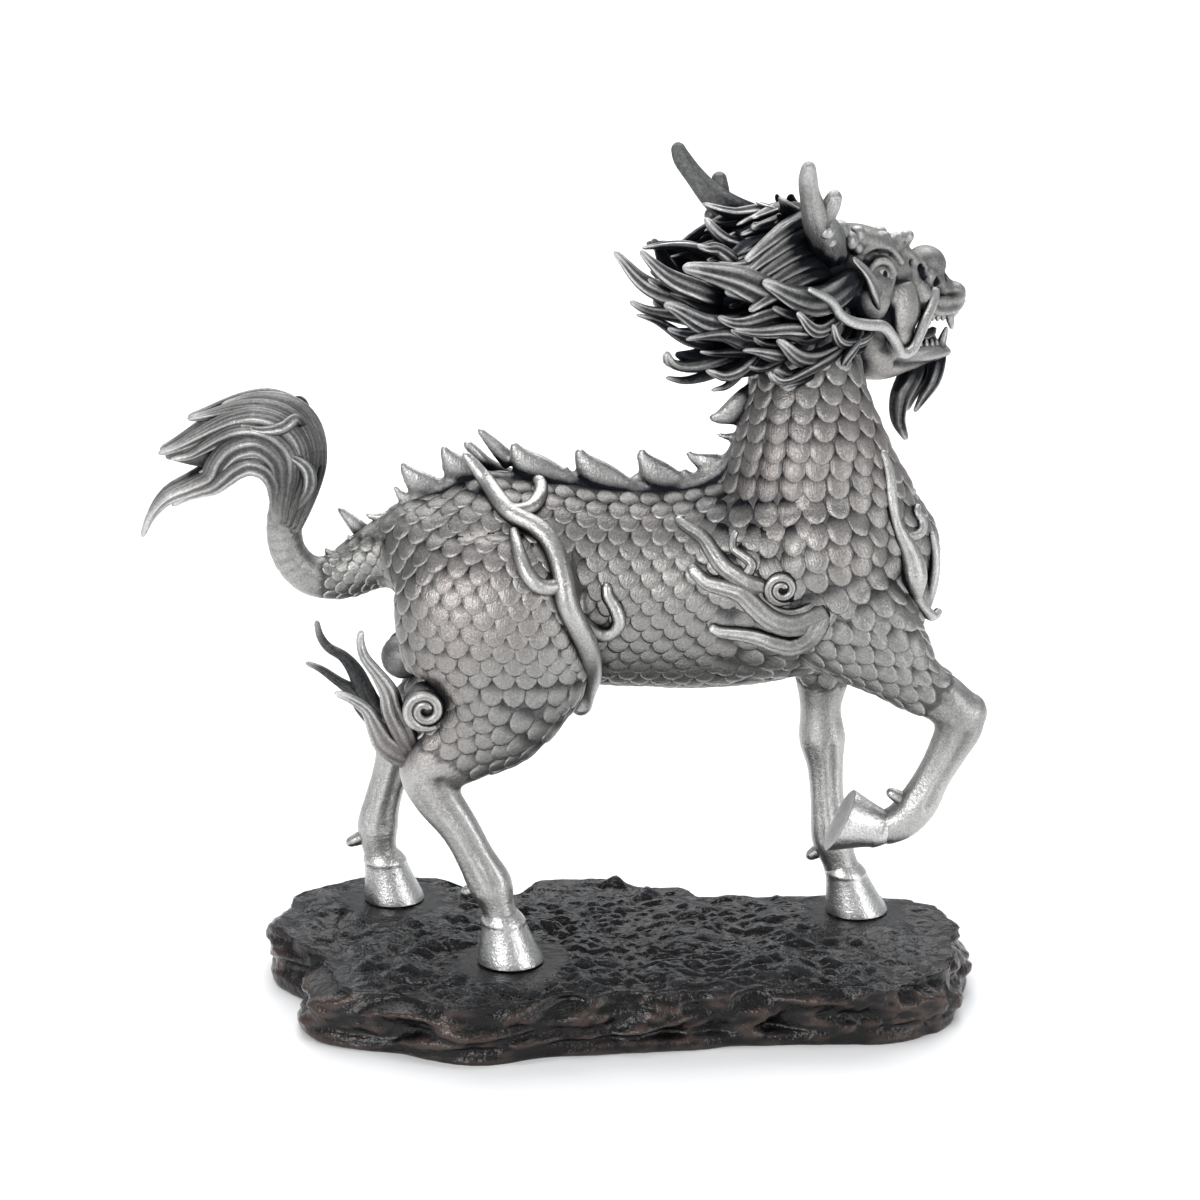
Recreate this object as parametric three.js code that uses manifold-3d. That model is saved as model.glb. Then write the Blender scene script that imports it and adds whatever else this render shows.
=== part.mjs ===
import * as THREE from 'three';
import { mergeVertices } from 'three/addons/utils/BufferGeometryUtils.js';
import Module from 'manifold-3d';

// Driving dimensions, in millimetres
const FIGURE_HEIGHT = 200; // soles of the standing hooves to the tips of the horns
const FIGURE_SET_BACK = 5; // the animal's middle plane behind the middle of the base
const BASE_LENGTH = 177; // rock base along X
const BASE_DEPTH = 89; // rock base along Y
const BASE_HEIGHT = 15; // underside to the level spots under the hooves
const BASE_RELIEF = 1.3; // height of the ripples on top of the rock
const SEAT_GAP = 0.3; // clearance between the soles and the rock

// The figure's tables are in figure units, two hundred to its height. Their
// origin is on the plane of the soles, above the middle of the base.
const UNIT = FIGURE_HEIGHT / 200;
const MIDDLE = 2; // the body's plane of symmetry, along Y in figure units

const X = new THREE.Vector3(1, 0, 0);
const Y = new THREE.Vector3(0, 1, 0);
const Z = new THREE.Vector3(0, 0, 1);

// The head looks 35 degrees away from the body's direction and leans 5 degrees
const HEAD_ORIGIN = new THREE.Vector3(42.4, 11, 163);
const HEAD_TURN = THREE.MathUtils.degToRad(35);
const HEAD_LEAN = THREE.MathUtils.degToRad(5);
const HEAD = new THREE.Matrix4()
  .makeTranslation(HEAD_ORIGIN)
  .multiply(new THREE.Matrix4().makeRotationZ(HEAD_TURN))
  .multiply(new THREE.Matrix4().makeRotationX(-HEAD_LEAN));

// Body sweeps: [x, y, z, half width across, half depth along the face]
const TRUNK = [
  [-57, 2, 97, 6, 7], [-52, 2, 97.5, 14, 15], [-44, 2, 95.5, 20.5, 20], [-34, 2, 94, 23.8, 22],
  [-22, 2, 92, 25, 21], [-9, 2, 90.4, 24.9, 19.5], [5, 2, 89.5, 24.7, 20], [20, 2, 89.8, 25.3, 21.5],
  [33, 2, 92, 26.1, 23], [46, 2, 95.5, 26.3, 22.5], [56.5, 2, 97, 24, 20], [65, 2, 96, 18.5, 16],
  [71.5, 2, 93.5, 11.5, 10], [74.4, 2, 91.5, 4.5, 5],
];
const NECK = [
  [50, 2, 100, 24, 19], [46.6, 2, 114, 22.8, 18], [45.6, 2.5, 128, 17.6, 15], [45, 4.5, 138, 14, 11.6],
  [44.2, 8, 148, 12.6, 9.6], [43, 11, 158, 11, 8], [42.5, 12, 165, 8, 6],
];
const NEAR_HIND_LEG = [
  [-31, -9, 104, 18, 10], [-30.5, -13, 95, 23, 13], [-30, -15, 84, 23.3, 13.5], [-28.5, -16, 73, 21, 12.5],
  [-31.5, -16.5, 63, 15.5, 11], [-38.5, -17, 55.5, 10.5, 8], [-46, -17.5, 49, 7.6, 6],
  [-44.5, -17.5, 42.5, 6.1, 5], [-38.7, -18, 33.7, 4.9, 4.3], [-34.8, -18.3, 26, 4.8, 4.3],
  [-31.2, -18.5, 18.7, 5.5, 4.9], [-29.5, -19, 13.5, 4.2, 4.2], [-28.6, -19.3, 9, 4.8, 4.6],
];
const FAR_HIND_LEG = [
  [-32, 13, 104, 18, 10], [-32, 17, 95, 22, 12], [-32, 19, 84, 22.5, 13], [-32, 20, 73, 19.5, 12],
  [-37, 20.5, 63, 14, 10.5], [-44.5, 20.8, 55, 9.8, 7.8], [-53, 21, 48.5, 7.2, 6],
  [-55.7, 21, 41.4, 5.6, 4.8], [-57.4, 21, 34.6, 4.8, 4.2], [-59.8, 21, 26.5, 4.7, 4.2],
  [-61.3, 21, 18.8, 5.3, 4.7], [-60.8, 20.5, 13, 4.3, 4.2], [-59.8, 20.3, 9, 4.8, 4.6],
];
const FAR_FORE_LEG = [
  [50, 12, 86, 13, 9], [50.5, 14.5, 73, 10, 8], [51, 16, 62, 7.2, 6.5], [50.7, 16, 52.6, 5.2, 5],
  [51.2, 15.5, 45.3, 6, 5.3], [52.1, 15, 38.2, 4.7, 4.3], [52.7, 14, 29.2, 4.4, 4],
  [54.1, 13, 18.7, 5.2, 4.8], [56, 12.5, 13, 4.4, 4.2], [57.3, 12.2, 9, 4.8, 4.6],
];
const NEAR_FORE_LEG = [
  [46, -11, 94, 15, 9], [55, -14, 86, 14.5, 9.5], [64.5, -15.6, 78, 11, 8], [72, -16.5, 70.5, 7, 6],
  [79, -17, 66.3, 6.1, 5.6], [82.4, -17, 61.5, 6, 5.5], [79.8, -16.7, 54, 4.9, 4.6],
  [76.2, -16.3, 46.5, 4.4, 4.2], [72.8, -16, 39.5, 5, 4.6], [68.8, -15.8, 34.8, 4.7, 4.5],
  [63.5, -15.6, 32.6, 4.3, 4.2],
];
const TAIL = [
  [-47, 2, 101, 11, 11], [-54, 2, 99, 9.5, 9], [-60.5, 1.5, 96.5, 7.5, 7.2], [-68, 0, 92.8, 5.9, 5.7],
  [-75, -2, 93.5, 4.9, 4.8], [-79.6, -3.5, 99, 4.5, 4.5], [-80.8, -4.5, 106, 4.4, 4.4],
  [-79.6, -5, 112.4, 4.6, 4.6], [-77.5, -6, 118, 5, 5.2], [-76.5, -6.5, 122, 5.5, 6.5],
];
const TAIL_TUFT = [
  [-78.8, -6, 111, 4.6, 4.8], [-77.8, -6.3, 117, 6.2, 6.6], [-77.2, -7, 123.5, 8.2, 9],
  [-81, -7, 128.6, 9.6, 10], [-88.1, -7, 130, 10.6, 9.6], [-95.3, -7, 128.4, 9, 8.4],
  [-102, -7, 127, 6.4, 6.4], [-108.3, -7, 125.6, 2.2, 2.6],
];

// Hooves: centre of the coronet and its half sizes, centre of the sole and its
// half sizes, and the direction that the sole faces
const DOWN = [0, 0, -1];
const HOOVES = [
  { coronet: [-28.3, -19.4, 10.5, 5.4, 5.2], sole: [-26.6, -20, 0, 8.3, 7.6], faces: DOWN },
  { coronet: [-59.6, 20.3, 10.5, 5.5, 5.2], sole: [-57.2, 20, 0, 7.8, 7.3], faces: DOWN },
  { coronet: [57.5, 12.2, 10.5, 5.3, 5.1], sole: [60.6, 12, 0, 8, 7.4], faces: DOWN },
  { coronet: [64.2, -15.6, 32.6, 4.9, 4.7], sole: [53.9, -15.5, 35, 8.4, 7.5], faces: [-0.9, 0, 0.44] },
];
const DEW_CLAWS = [
  [[-33, -18.4, 18.6], [-38.6, -18.4, 17.2]],
  [[-63, 21, 17], [-69.5, 21, 14.2]],
  [[52.5, 13.2, 16.5], [47.6, 13.2, 13.6]],
  [[71, -16, 39.5], [65.2, -16, 43]],
];

const DEW_CLAW_RADIUS = 2;

// Crest along the back: [tip x, tip z, root x, root z, half length of the root, y]
const CREST = [
  [-70.7, 98.6, -67, 96, 1.6, 0], [-65.3, 101.5, -62, 99, 1.8, 1], [-68.5, 108.8, -61.5, 101.5, 2.4, 4.5],
  [-61.4, 107.2, -54.5, 105, 2.2, 2], [-54.2, 114.4, -48, 110, 2.4, 2], [-52.9, 119.9, -44.5, 113, 3.8, 2],
  [-42.5, 124, -34, 115.5, 4.2, 2], [-34.1, 128.4, -25, 117, 3.4, 5], [-25.6, 125.4, -16.5, 114.5, 4.6, 2],
  [-12.2, 119.6, -8, 114, 2.2, 2], [-9.2, 123.7, -0.5, 113.5, 4.4, 2], [3.6, 118.4, 7, 113, 2, 2],
  [5.8, 123.9, 13, 113.5, 4.2, 2], [18.6, 119.6, 22, 115, 2, 2], [16.2, 123.9, 25, 116, 4.2, 2],
  [23.8, 127.4, 31, 124, 2.6, 2], [21.6, 131.4, 32, 130.5, 3.6, 2.5], [27.4, 137, 34, 136.5, 2.6, 3],
];

// Bands and flames that lie on the skin: lists of [x, z], and their half width
const HIP_BANDS = [
  { path: [[-9.2, 65.9], [-6.5, 74.2], [-7.2, 83.4], [-10.8, 92.9], [-13.8, 99.4], [-14.6, 107.5],
    [-18.1, 111.4], [-23.6, 113.8], [-27.8, 117.2], [-30.8, 122.9], [-36.3, 127.5]], half: 2.1 },
  { path: [[-13, 96], [-14.8, 99.7], [-19.3, 99.3], [-22.8, 102.2], [-23.5, 107.8],
    [-25.7, 110.7]], half: 1.7 },
  { path: [[-7.6, 84], [-6.3, 87.3], [-2.2, 86.3], [-0.6, 90], [-2.9, 94], [-3.7, 98.3]], half: 1.7 },
  { path: [[-25.5, 114.3], [-22, 115.8], [-21.2, 118.6], [-25.3, 120.7], [-28.5, 124]], half: 1.6 },
];
const SHOULDER_FLAMES = [
  { path: [[49, 85.5], [40.6, 87.7], [34.7, 90.9], [29.8, 95.7], [22.7, 98.3], [18, 100.5]], half: 1.7 },
  { path: [[49, 83.5], [39.5, 82.7], [31.2, 84.1], [23.1, 85.3]], half: 1.7 },
  { path: [[36, 91], [32.2, 96.6], [25.1, 102.5], [20.3, 106.7], [15.1, 111.1]], half: 1.6 },
  { path: [[27, 98], [29.8, 101.6], [31.2, 104.6], [27.9, 105.8], [27.7, 108.4]], half: 1.2 },
];
const SHOULDER_CURL = { centre: [38.1, 96.7], radius: 4.4 };
const FAR_FLANK_FORMS = 2; // bands, and flames, on the far flank
const SKIN_LIFT = 1; // middle line of a band or flame above the skin
const FACETED = 1.15; // three-sided locks are this much wider, to look as wide as round ones

// Flames that stand free: lists of [x, y, z], and their half width
const CHEST_FLAMES = [
  { path: [[74.5, -8, 86], [71, -12, 97], [68.5, -11, 104.7], [66.4, -11, 110.5], [65.3, -11, 118],
    [63, -10, 126.3]],
    half: 2 },
  { path: [[70, -11, 98], [69.7, -10, 105.2], [73.1, -9, 106.6], [72.4, -8, 109.1],
    [71.7, -7, 114.3]], half: 1.5 },
  { path: [[73, -5, 84], [76.1, -4, 95.4], [76.6, -2, 104]], half: 2.2 },
];
const HOCK_FLAMES = [
  { path: [[-46, -18, 52], [-54.6, -19, 55.4], [-58.8, -20, 61], [-61.5, -20, 66],
    [-68.6, -20, 69.8]], half: 2.7 },
  { path: [[-45, -18, 55], [-51.9, -19, 58.2], [-55.6, -20, 65], [-57.6, -20, 73.5],
    [-61.9, -20, 85]], half: 2.7 },
  { path: [[-51, 21, 50], [-61.1, 21, 53.2], [-66.6, 22, 57.9], [-69.2, 22, 64.5],
    [-75.6, 22, 73.5]], half: 2.6 },
  { path: [[-53, 20, 47], [-61.3, 20, 49.8], [-65.8, 21, 54.7], [-70.5, 22, 59.6],
    [-78.3, 22, 62.8]], half: 2.4 },
];
const HOCK_CURLS = [
  { centre: [-46.3, -25, 67.7], backing: 4 },
  { centre: [-54, 26.5, 65], backing: -6 },
];
const HOCK_CURL_RADIUS = 6;

// Strands of the tail tuft on the near side, and their half widths
const TUFT_STRANDS = [
  { path: [[-70.8, -7, 121], [-70.4, -9, 128], [-74, -12, 135], [-80, -13, 139.6], [-87, -12, 140.4],
    [-94, -10, 137.4], [-100, -9, 134.5]], half: 2.2 },
  { path: [[-72, -10, 122.6], [-74, -14, 131.5], [-79, -16, 136.5], [-86, -15, 137.8], [-93.3, -13.5, 135],
    [-100.7, -11, 131], [-108.4, -9, 125.8]], half: 2.6 },
  { path: [[-73.5, -13, 121.5], [-76.8, -16.4, 129.5], [-83.5, -17.2, 133.4], [-90.7, -15.8, 131.4],
    [-98.2, -13, 127.3], [-104, -11, 124.5]], half: 2.4 },
  { path: [[-76, -12.6, 119], [-79.8, -15.8, 125.8], [-86.1, -16, 127.8], [-92.7, -14.6, 125],
    [-97, -13, 121.5]],
    half: 2.2 },
  { path: [[-80, -9, 119], [-86.8, -10, 122.4], [-94, -10, 120.6], [-101.3, -10, 118.2],
    [-107.3, -10, 115.9], [-111.8, -10, 111.4], [-114.9, -10, 105.9]], half: 2.8 },
];
const TUFT_MIDDLE = -7; // the tuft's own plane of symmetry, along Y

// Head sweeps, in the head's frame: forward, to the animal's left, up
const SKULL = [
  [-4, 0, 3, 11, 9], [4, 0, 2.5, 13.5, 12], [12, 0, 1.6, 11.8, 11.6], [20, 0, 1.2, 10.6, 10.4],
  [27, 0, 0, 8.6, 8], [33, 0, -2.6, 6.8, 6.2], [38, 0, -5, 5.4, 5.8], [43, 0, -6.4, 4.6, 5.4],
  [46.6, 0, -7.4, 2.6, 3.4],
];
const LOWER_JAW = [
  [10, 0, -12, 7, 9], [17.5, 0, -18, 6.6, 9], [24, 0, -21, 6.2, 8.2], [31, 0, -22, 4.3, 7],
  [38, 0, -22.4, 2.7, 6], [44.8, 0, -22.6, 1.7, 4],
];
const UPPER_LIP = [
  [42, 0, -7, 3.4, 5.6], [47, 0, -8.6, 2.6, 4.6], [50.6, 0, -9.6, 1.7, 3.2], [52, 0, -9.9, 0.6, 1.4],
];
const MANE_CORE = [
  [6, 0, 2, 11, 10], [-4, 0, 3, 13.5, 13], [-14, 0, 2, 12.5, 13.5], [-23, 0, 0.5, 10, 11],
  [-30, 0, 0, 5, 7],
];
const NAPE = [
  [4, 0, -8, 7, 10.5], [-4, 0, -10.5, 8.6, 11.5], [-14, 0, -14, 7.4, 10.5], [-23, 0, -15.4, 5.8, 8],
  [-30, 0, -14.4, 3.8, 5.4], [-35.5, 0, -12.4, 1.2, 2],
];
const FORELOCK = [
  [11, 0, 9, 5, 5], [4, 0, 14.4, 6, 6.4], [-3, 0, 17.4, 4.6, 5.6], [-10, 0, 16.6, 3, 4],
  [-17, 0, 17, 1, 1.4],
];
// Rounded lumps: centre, then half sizes forward, sideways and up
const NOSE = [40.2, 0, -1.4, 4.8, 4.2, 4.2];
const LUMPS = [[25.5, -7.4, -9, 6.5, 3.8, 8.4], [17.2, -9.4, 0.8, 3, 2.6, 3]];
const BROW = [
  [5, -9, 10, 3, 3], [12, -9.6, 10.2, 2.6, 2.8], [19, -8.8, 8, 2.4, 2.6], [26, -5.6, 6.2, 2, 2.4],
  [32.4, -3, 6.4, 1, 1.4],
];
const HORN = [
  [4, -8, 7.5, 4, 4], [-0.9, -14, 11.7, 3.9, 3.9], [-5.4, -18, 15, 3.6, 3.6], [-10.3, -22, 19.6, 2.8, 2.8],
  [-14, -25, 25, 2.1, 2.1], [-16.3, -27.5, 29.5, 1.9, 1.9], [-17, -29, 33.2, 1.2, 1.2],
];
const HORN_BRANCH = [[-8.8, -21, 17, 2.3, 2.3], [-7.4, -24, 21.5, 2, 2], [-6.4, -25.5, 25.2, 1.3, 1.3]];
const FAR_HORN_FORWARD = 0.15; // the left horn stands further forward, as a share of its reach sideways
const WHISKER = [
  [38, -6, -6, 1.6, 1.4], [36.5, -7.2, -8.5, 1.5, 1.3], [31.2, -10, -12.8, 1.4, 1.2],
  [25.8, -11.6, -18.6, 1.4, 1.2], [22.2, -12.2, -18.8, 1.4, 1.2], [18.8, -13.6, -14.8, 1.4, 1.2],
  [14.7, -14.8, -11, 1.4, 1.2], [9.3, -16, -9.7, 1.4, 1.2], [4, -17, -8.3, 1.4, 1.2],
  [-0.6, -18, -5.9, 1.3, 1.2], [-4.3, -19, -1.9, 1.2, 1.1], [-12.5, -21, 2.4, 0.7, 0.7],
];
const FANGS = [
  { root: [42.4, -4, -8], tip: [43.6, -4.6, -15.8], radius: 1.3 },
  { root: [41.2, -3.6, -22.4], tip: [43.9, -4, -16.8], radius: 1.2 },
];
const TOOTH_ROWS = [
  { from: [35, -4.2, -8], to: [39.2, -3.8, -8.4], count: 2, length: -5 },
  { from: [33, -4.2, -20.8], to: [38, -3.8, -21.6], count: 2, length: 4.4 },
];
const TOOTH_RADIUS = 0.9;
const BEARD = [
  { path: [[42.3, 0, -21], [41.4, 0, -28], [37, 0, -35], [33.8, 0, -43.2]], half: 2.8 },
  { path: [[32, -3.5, -20], [31.8, -3.5, -28], [32.6, -2.4, -34.5], [34.6, -0.8, -40.5]], half: 2.5 },
  { path: [[32, 3.5, -20], [31.8, 3.5, -28], [32.6, 2.4, -34.5], [34.6, 0.8, -40.5]], half: 2.5 },
];

// Mane locks of the near side, from where they leave the head to the tip
const MANE_LOCKS = [
  { path: [[-34.4, -8, 0.5], [-47, -6, 7.4], [-56.3, -4, 13.5]], half: 2.3 },
  { path: [[-32.9, -10, 1.7], [-43.9, -9, 9.6], [-51.4, -8, 13.7]], half: 2.3 },
  { path: [[-20.8, 0, 6.7], [-30.8, 0, 12.7], [-43.7, 0, 13.9]], half: 2.6 },
  { path: [[-15.5, -12, -0.5], [-22.7, -14, 4.3], [-30.5, -15, 8.9], [-43.6, -14, 8.4]], half: 2.9 },
  { path: [[-28.9, -8, -6.2], [-45.9, -8, 0.9], [-52, -6, 4.3]], half: 2.3 },
  { path: [[-26, -12, -5], [-41.1, -13, -1.1], [-48.5, -12, 0.9]], half: 2.3 },
  { path: [[-20.4, -12, -9.8], [-32.7, -13, -7.5], [-41.2, -12, -5.7]], half: 2.2 },
  { path: [[-5.5, -14, -8.8], [-21.9, -18, -7.2], [-30.3, -17, -3.6]], half: 2.2 },
  { path: [[3.4, -13, 1.9], [-8.9, -17, -0.3], [-17.8, -19, 0.6], [-23.9, -18, 4.4]], half: 2.6 },
  { path: [[-5.4, 2, 17.2], [-14.3, 6, 18], [-20.7, 8, 20.5]], half: 1.9 },
  { path: [[-4.1, -4, 15.2], [-11.6, 0, 12.2], [-19, 2, 13.4], [-24.6, 2, 18.4]], half: 2.6 },
  { path: [[-2.5, -6, 17.6], [-12, -10, 9.6], [-23.9, -12, 8.2], [-31, -10, 10.4]], half: 3.2 },
  { path: [[3.5, -12, -13.9], [-13.2, -16, -13.5], [-20.4, -17, -10.4]], half: 2.2 },
  { path: [[2, -12, -13.7], [-11.1, -15, -17], [-17.5, -14, -17.1]], half: 2.1 },
  { path: [[-0.8, 0, 14.6], [-5, 1, 18], [-9.4, 2, 20.6]], half: 1.6 },
];
const LOCK_LEAD = 8; // a lock starts this far forward of where it shows
const LOCK_SINK = 0.55; // and at this share of its distance from the head's middle line
const FAR_LOCK_FORWARD = 6; // the far side's locks stand this far forward of the near side's
const FAR_LOCK_SWAY = 2.3; // angle, in radians from lock to lock, by which their rise differs
const LOCK_STEPS = 4;
const LOCK_SHOULDER = 0.9; // share of a lock's length where its blunt tip begins

// Rock outline, counter-clockwise, in hundredths of its half length and half depth
const ROCK_OUTLINE = [
  [100, 9], [99, 34], [93, 56], [70, 67], [47, 67], [25, 70], [9, 92], [-9, 100], [-23, 92],
  [-32, 72], [-45, 74], [-54, 92], [-68, 100], [-84, 92], [-95, 74], [-100, 47], [-100, 13],
  [-95, -2], [-89, -20], [-90, -43], [-87, -61], [-79, -75], [-63, -85], [-49, -96], [-36, -100],
  [-23, -93], [-9, -89], [11, -84], [38, -75], [59, -73], [75, -71], [86, -61], [93, -49], [97, -18],
];
// Rings of the rock from the underside up and in: [share of the outline, share of the height]
const ROCK_RINGS = [[0.98, 0], [1, 0.16], [0.965, 0.48], [0.99, 0.74], [0.965, 0.9], [0.93, 1]];
const ROCK_TOP_RINGS = [0.78, 0.58, 0.34];
const ROCK_STEPS = 44;
const SEAT_FLAT = 8; // level rock around each sole, past its edge
const SEAT_BLEND = 7; // width over which the ripples fade in around it

const wasm = await Module();
wasm.setup();

const vector = ([x, y, z]) => new THREE.Vector3(x, y, z);

// Closed skin over rings of points. A ring of one point closes the skin to a tip,
// and a whole ring at an end is capped flat.
function skin(rings) {
  const positions = [];
  const starts = rings.map((ring) => {
    const start = positions.length / 3;
    ring.forEach((point) => positions.push(point.x, point.y, point.z));
    return start;
  });
  const index = [];
  const cap = (start, count, front) => {
    for (let i = 1; i < count - 1; i += 1) {
      index.push(start, start + (front ? i : i + 1), start + (front ? i + 1 : i));
    }
  };
  for (let r = 0; r < rings.length - 1; r += 1) {
    const [low, high] = [rings[r].length, rings[r + 1].length];
    const sides = Math.max(low, high);
    for (let i = 0; i < sides; i += 1) {
      const next = (i + 1) % sides;
      const a = starts[r] + (low > 1 ? i : 0);
      const b = starts[r] + (low > 1 ? next : 0);
      const c = starts[r + 1] + (high > 1 ? next : 0);
      const d = starts[r + 1] + (high > 1 ? i : 0);
      if (low > 1) index.push(a, b, c);
      if (high > 1) index.push(a, c, d);
    }
  }
  const last = rings.length - 1;
  if (rings[0].length > 1) cap(starts[0], rings[0].length, false);
  if (rings[last].length > 1) cap(starts[last], rings[last].length, true);
  const geometry = new THREE.BufferGeometry();
  geometry.setAttribute('position', new THREE.Float32BufferAttribute(positions, 3));
  geometry.setIndex(index);
  return faceOut(geometry);
}

// Volume inside a list of triangles, negative where they face inwards
function signedVolume(geometry, index) {
  const p = geometry.attributes.position;
  const [a, b, c] = [new THREE.Vector3(), new THREE.Vector3(), new THREE.Vector3()];
  let volume = 0;
  for (let i = 0; i < index.length; i += 3) {
    a.fromBufferAttribute(p, index[i]);
    b.fromBufferAttribute(p, index[i + 1]);
    c.fromBufferAttribute(p, index[i + 2]);
    volume += a.dot(b.cross(c)) / 6;
  }
  return volume;
}

// Turns a closed geometry's faces outwards
function faceOut(geometry) {
  const index = Array.from(geometry.index.array);
  if (signedVolume(geometry, index) < 0) {
    for (let i = 0; i < index.length; i += 3) [index[i], index[i + 1]] = [index[i + 1], index[i]];
    geometry.setIndex(index);
  }
  return geometry;
}

// Elliptical ring about a centre. One axis lies across the sweep, the other along its
// face, where the ring's first point is.
function ring(centre, along, face, halfAcross, halfFace, sides) {
  const across = new THREE.Vector3().crossVectors(face, along).normalize();
  const depth = new THREE.Vector3().crossVectors(along, across).normalize();
  return Array.from({ length: sides }, (_, i) => {
    const angle = (i / sides + 0.25) * 2 * Math.PI;
    return centre.clone()
      .addScaledVector(across, Math.cos(angle) * halfAcross)
      .addScaledVector(depth, Math.sin(angle) * halfFace);
  });
}

// Solid swept through stations of centre, half width and half depth
function sweep(stations, { sides = 10, steps = stations.length - 1, face = Y } = {}) {
  const path = new THREE.CatmullRomCurve3(stations.map(vector), false, 'centripetal');
  const sizes = new THREE.CatmullRomCurve3(stations.map((s) => new THREE.Vector3(s[3], s[4], 0)));
  return skin(Array.from({ length: steps + 1 }, (_, i) => {
    const size = sizes.getPoint(i / steps);
    return ring(path.getPoint(i / steps), path.getTangent(i / steps), face, size.x, size.y, sides);
  }));
}

// Lock of hair or flame: swells from the root, then tapers to a point
function lock(points, half, face, shape = {}) {
  const { sides = 4, steps = LOCK_STEPS, flat = 0.62, root = 0.8, taper = 0.6 } = shape;
  const path = new THREE.CatmullRomCurve3(points, false, 'centripetal');
  const rings = Array.from({ length: steps }, (_, i) => {
    const t = (i / (steps - 1)) * LOCK_SHOULDER;
    const belly = root + (1 - root) * Math.sin(Math.PI * Math.min(1, t * 1.6));
    const swell = half * belly * (1 - taper * t ** 2);
    return ring(path.getPoint(t), path.getTangent(t), face, swell, swell * flat, sides);
  });
  return skin([...rings, [path.getPoint(1)]]);
}

// Ellipsoid from [x, y, z, half sizes]
function lump([x, y, z, a, b, c], columns = 6, rows = 4) {
  const ball = new THREE.SphereGeometry(1, columns, rows);
  ball.scale(a, c, b);
  ball.rotateX(Math.PI / 2);
  return ball.translate(x, y, z);
}

// Rod that winds inwards, from its outer end to the middle, in the plane across the face
function curl(centre, radius, face, { turns = 1.3, steps = 9, start = 0, half = radius * 0.26 } = {}) {
  const across = new THREE.Vector3().crossVectors(Z, face).normalize();
  const rings = Array.from({ length: steps + 1 }, (_, i) => {
    const t = i / steps;
    const angle = start + turns * 2 * Math.PI * t;
    const reach = (radius - half) * (1 - 0.86 * t);
    const out = across.clone().multiplyScalar(Math.cos(angle)).addScaledVector(Z, Math.sin(angle));
    const forward = across.clone().multiplyScalar(-Math.sin(angle)).addScaledVector(Z, Math.cos(angle));
    return ring(centre.clone().addScaledVector(out, reach), forward, face, half, half, 4);
  });
  return skin(rings);
}

function toSolid(geometry) {
  const plain = geometry.clone();
  plain.deleteAttribute('normal');
  plain.deleteAttribute('uv');
  const merged = mergeVertices(plain, 1e-4);
  return new wasm.Manifold(new wasm.Mesh({
    numProp: 3,
    vertProperties: new Float32Array(merged.attributes.position.array),
    triVerts: new Uint32Array(merged.index.array),
  }));
}

function toGeometry(solid) {
  const mesh = solid.getMesh();
  const geometry = new THREE.BufferGeometry();
  geometry.setAttribute('position', new THREE.Float32BufferAttribute(mesh.vertProperties, 3));
  geometry.setIndex(Array.from(mesh.triVerts));
  return geometry;
}

// Closed skin without the small pockets that stay shut in where forms cross: each
// pocket is a shell of its own that faces inwards
function withoutPockets(geometry) {
  const index = geometry.index.array;
  const parent = Array.from({ length: geometry.attributes.position.count }, (_, i) => i);
  const find = (i) => {
    while (parent[i] !== i) i = parent[i] = parent[parent[i]];
    return i;
  };
  for (let i = 0; i < index.length; i += 3) {
    parent[find(index[i + 1])] = find(index[i]);
    parent[find(index[i + 2])] = find(index[i]);
  }
  const shells = new Map();
  for (let i = 0; i < index.length; i += 3) {
    const shell = find(index[i]);
    if (!shells.has(shell)) shells.set(shell, []);
    shells.get(shell).push(index[i], index[i + 1], index[i + 2]);
  }
  geometry.setIndex([...shells.values()].filter((shell) => signedVolume(geometry, shell) > 0).flat());
  return geometry;
}

const unite = (geometries) => geometries.map(toSolid).reduce((all, solid) => all.add(solid));

const mirrored = (points, middle) => points.map(([x, y, ...rest]) => [x, 2 * middle - y, ...rest]);

// Body without ornament
function bodyForms() {
  const hooves = HOOVES.map(({ coronet, sole, faces }) => {
    const along = vector(faces).normalize();
    return skin([coronet, sole].map((s) => ring(vector(s), along, Y, s[3], s[4], 8)));
  });
  const dewClaws = DEW_CLAWS.map((ends) => lock(ends.map(vector), DEW_CLAW_RADIUS, Z, { steps: 2, flat: 0.9 }));
  return [
    sweep(TRUNK, { sides: 12 }),
    sweep(NECK, { sides: 10 }),
    ...[NEAR_HIND_LEG, FAR_HIND_LEG, FAR_FORE_LEG, NEAR_FORE_LEG].map((leg) => sweep(leg, { sides: 7 })),
    ...hooves,
    ...dewClaws,
    sweep(TAIL, { sides: 6 }),
  ];
}

// Finds the body's skin at [x, z], looking from the near side (-1) or the far side (1)
function skinFinder(body) {
  const target = new THREE.Mesh(body, new THREE.MeshBasicMaterial({ side: THREE.DoubleSide }));
  const caster = new THREE.Raycaster();
  return (x, z, side) => {
    caster.set(new THREE.Vector3(x, side * FIGURE_HEIGHT, z), new THREE.Vector3(0, -side, 0));
    const hit = caster.intersectObject(target)[0];
    return hit ? hit.point.y : null;
  };
}

// Lays a path of [x, z] on the skin. Past the body's edge it keeps the last depth found.
function drape(path, side, findSkin, lift) {
  const depths = path.map(([x, z]) => findSkin(x, z, side));
  let y = depths.find((depth) => depth !== null);
  return path.map(([x, z], i) => {
    y = depths[i] ?? y;
    return new THREE.Vector3(x, y + side * lift, z);
  });
}

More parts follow.
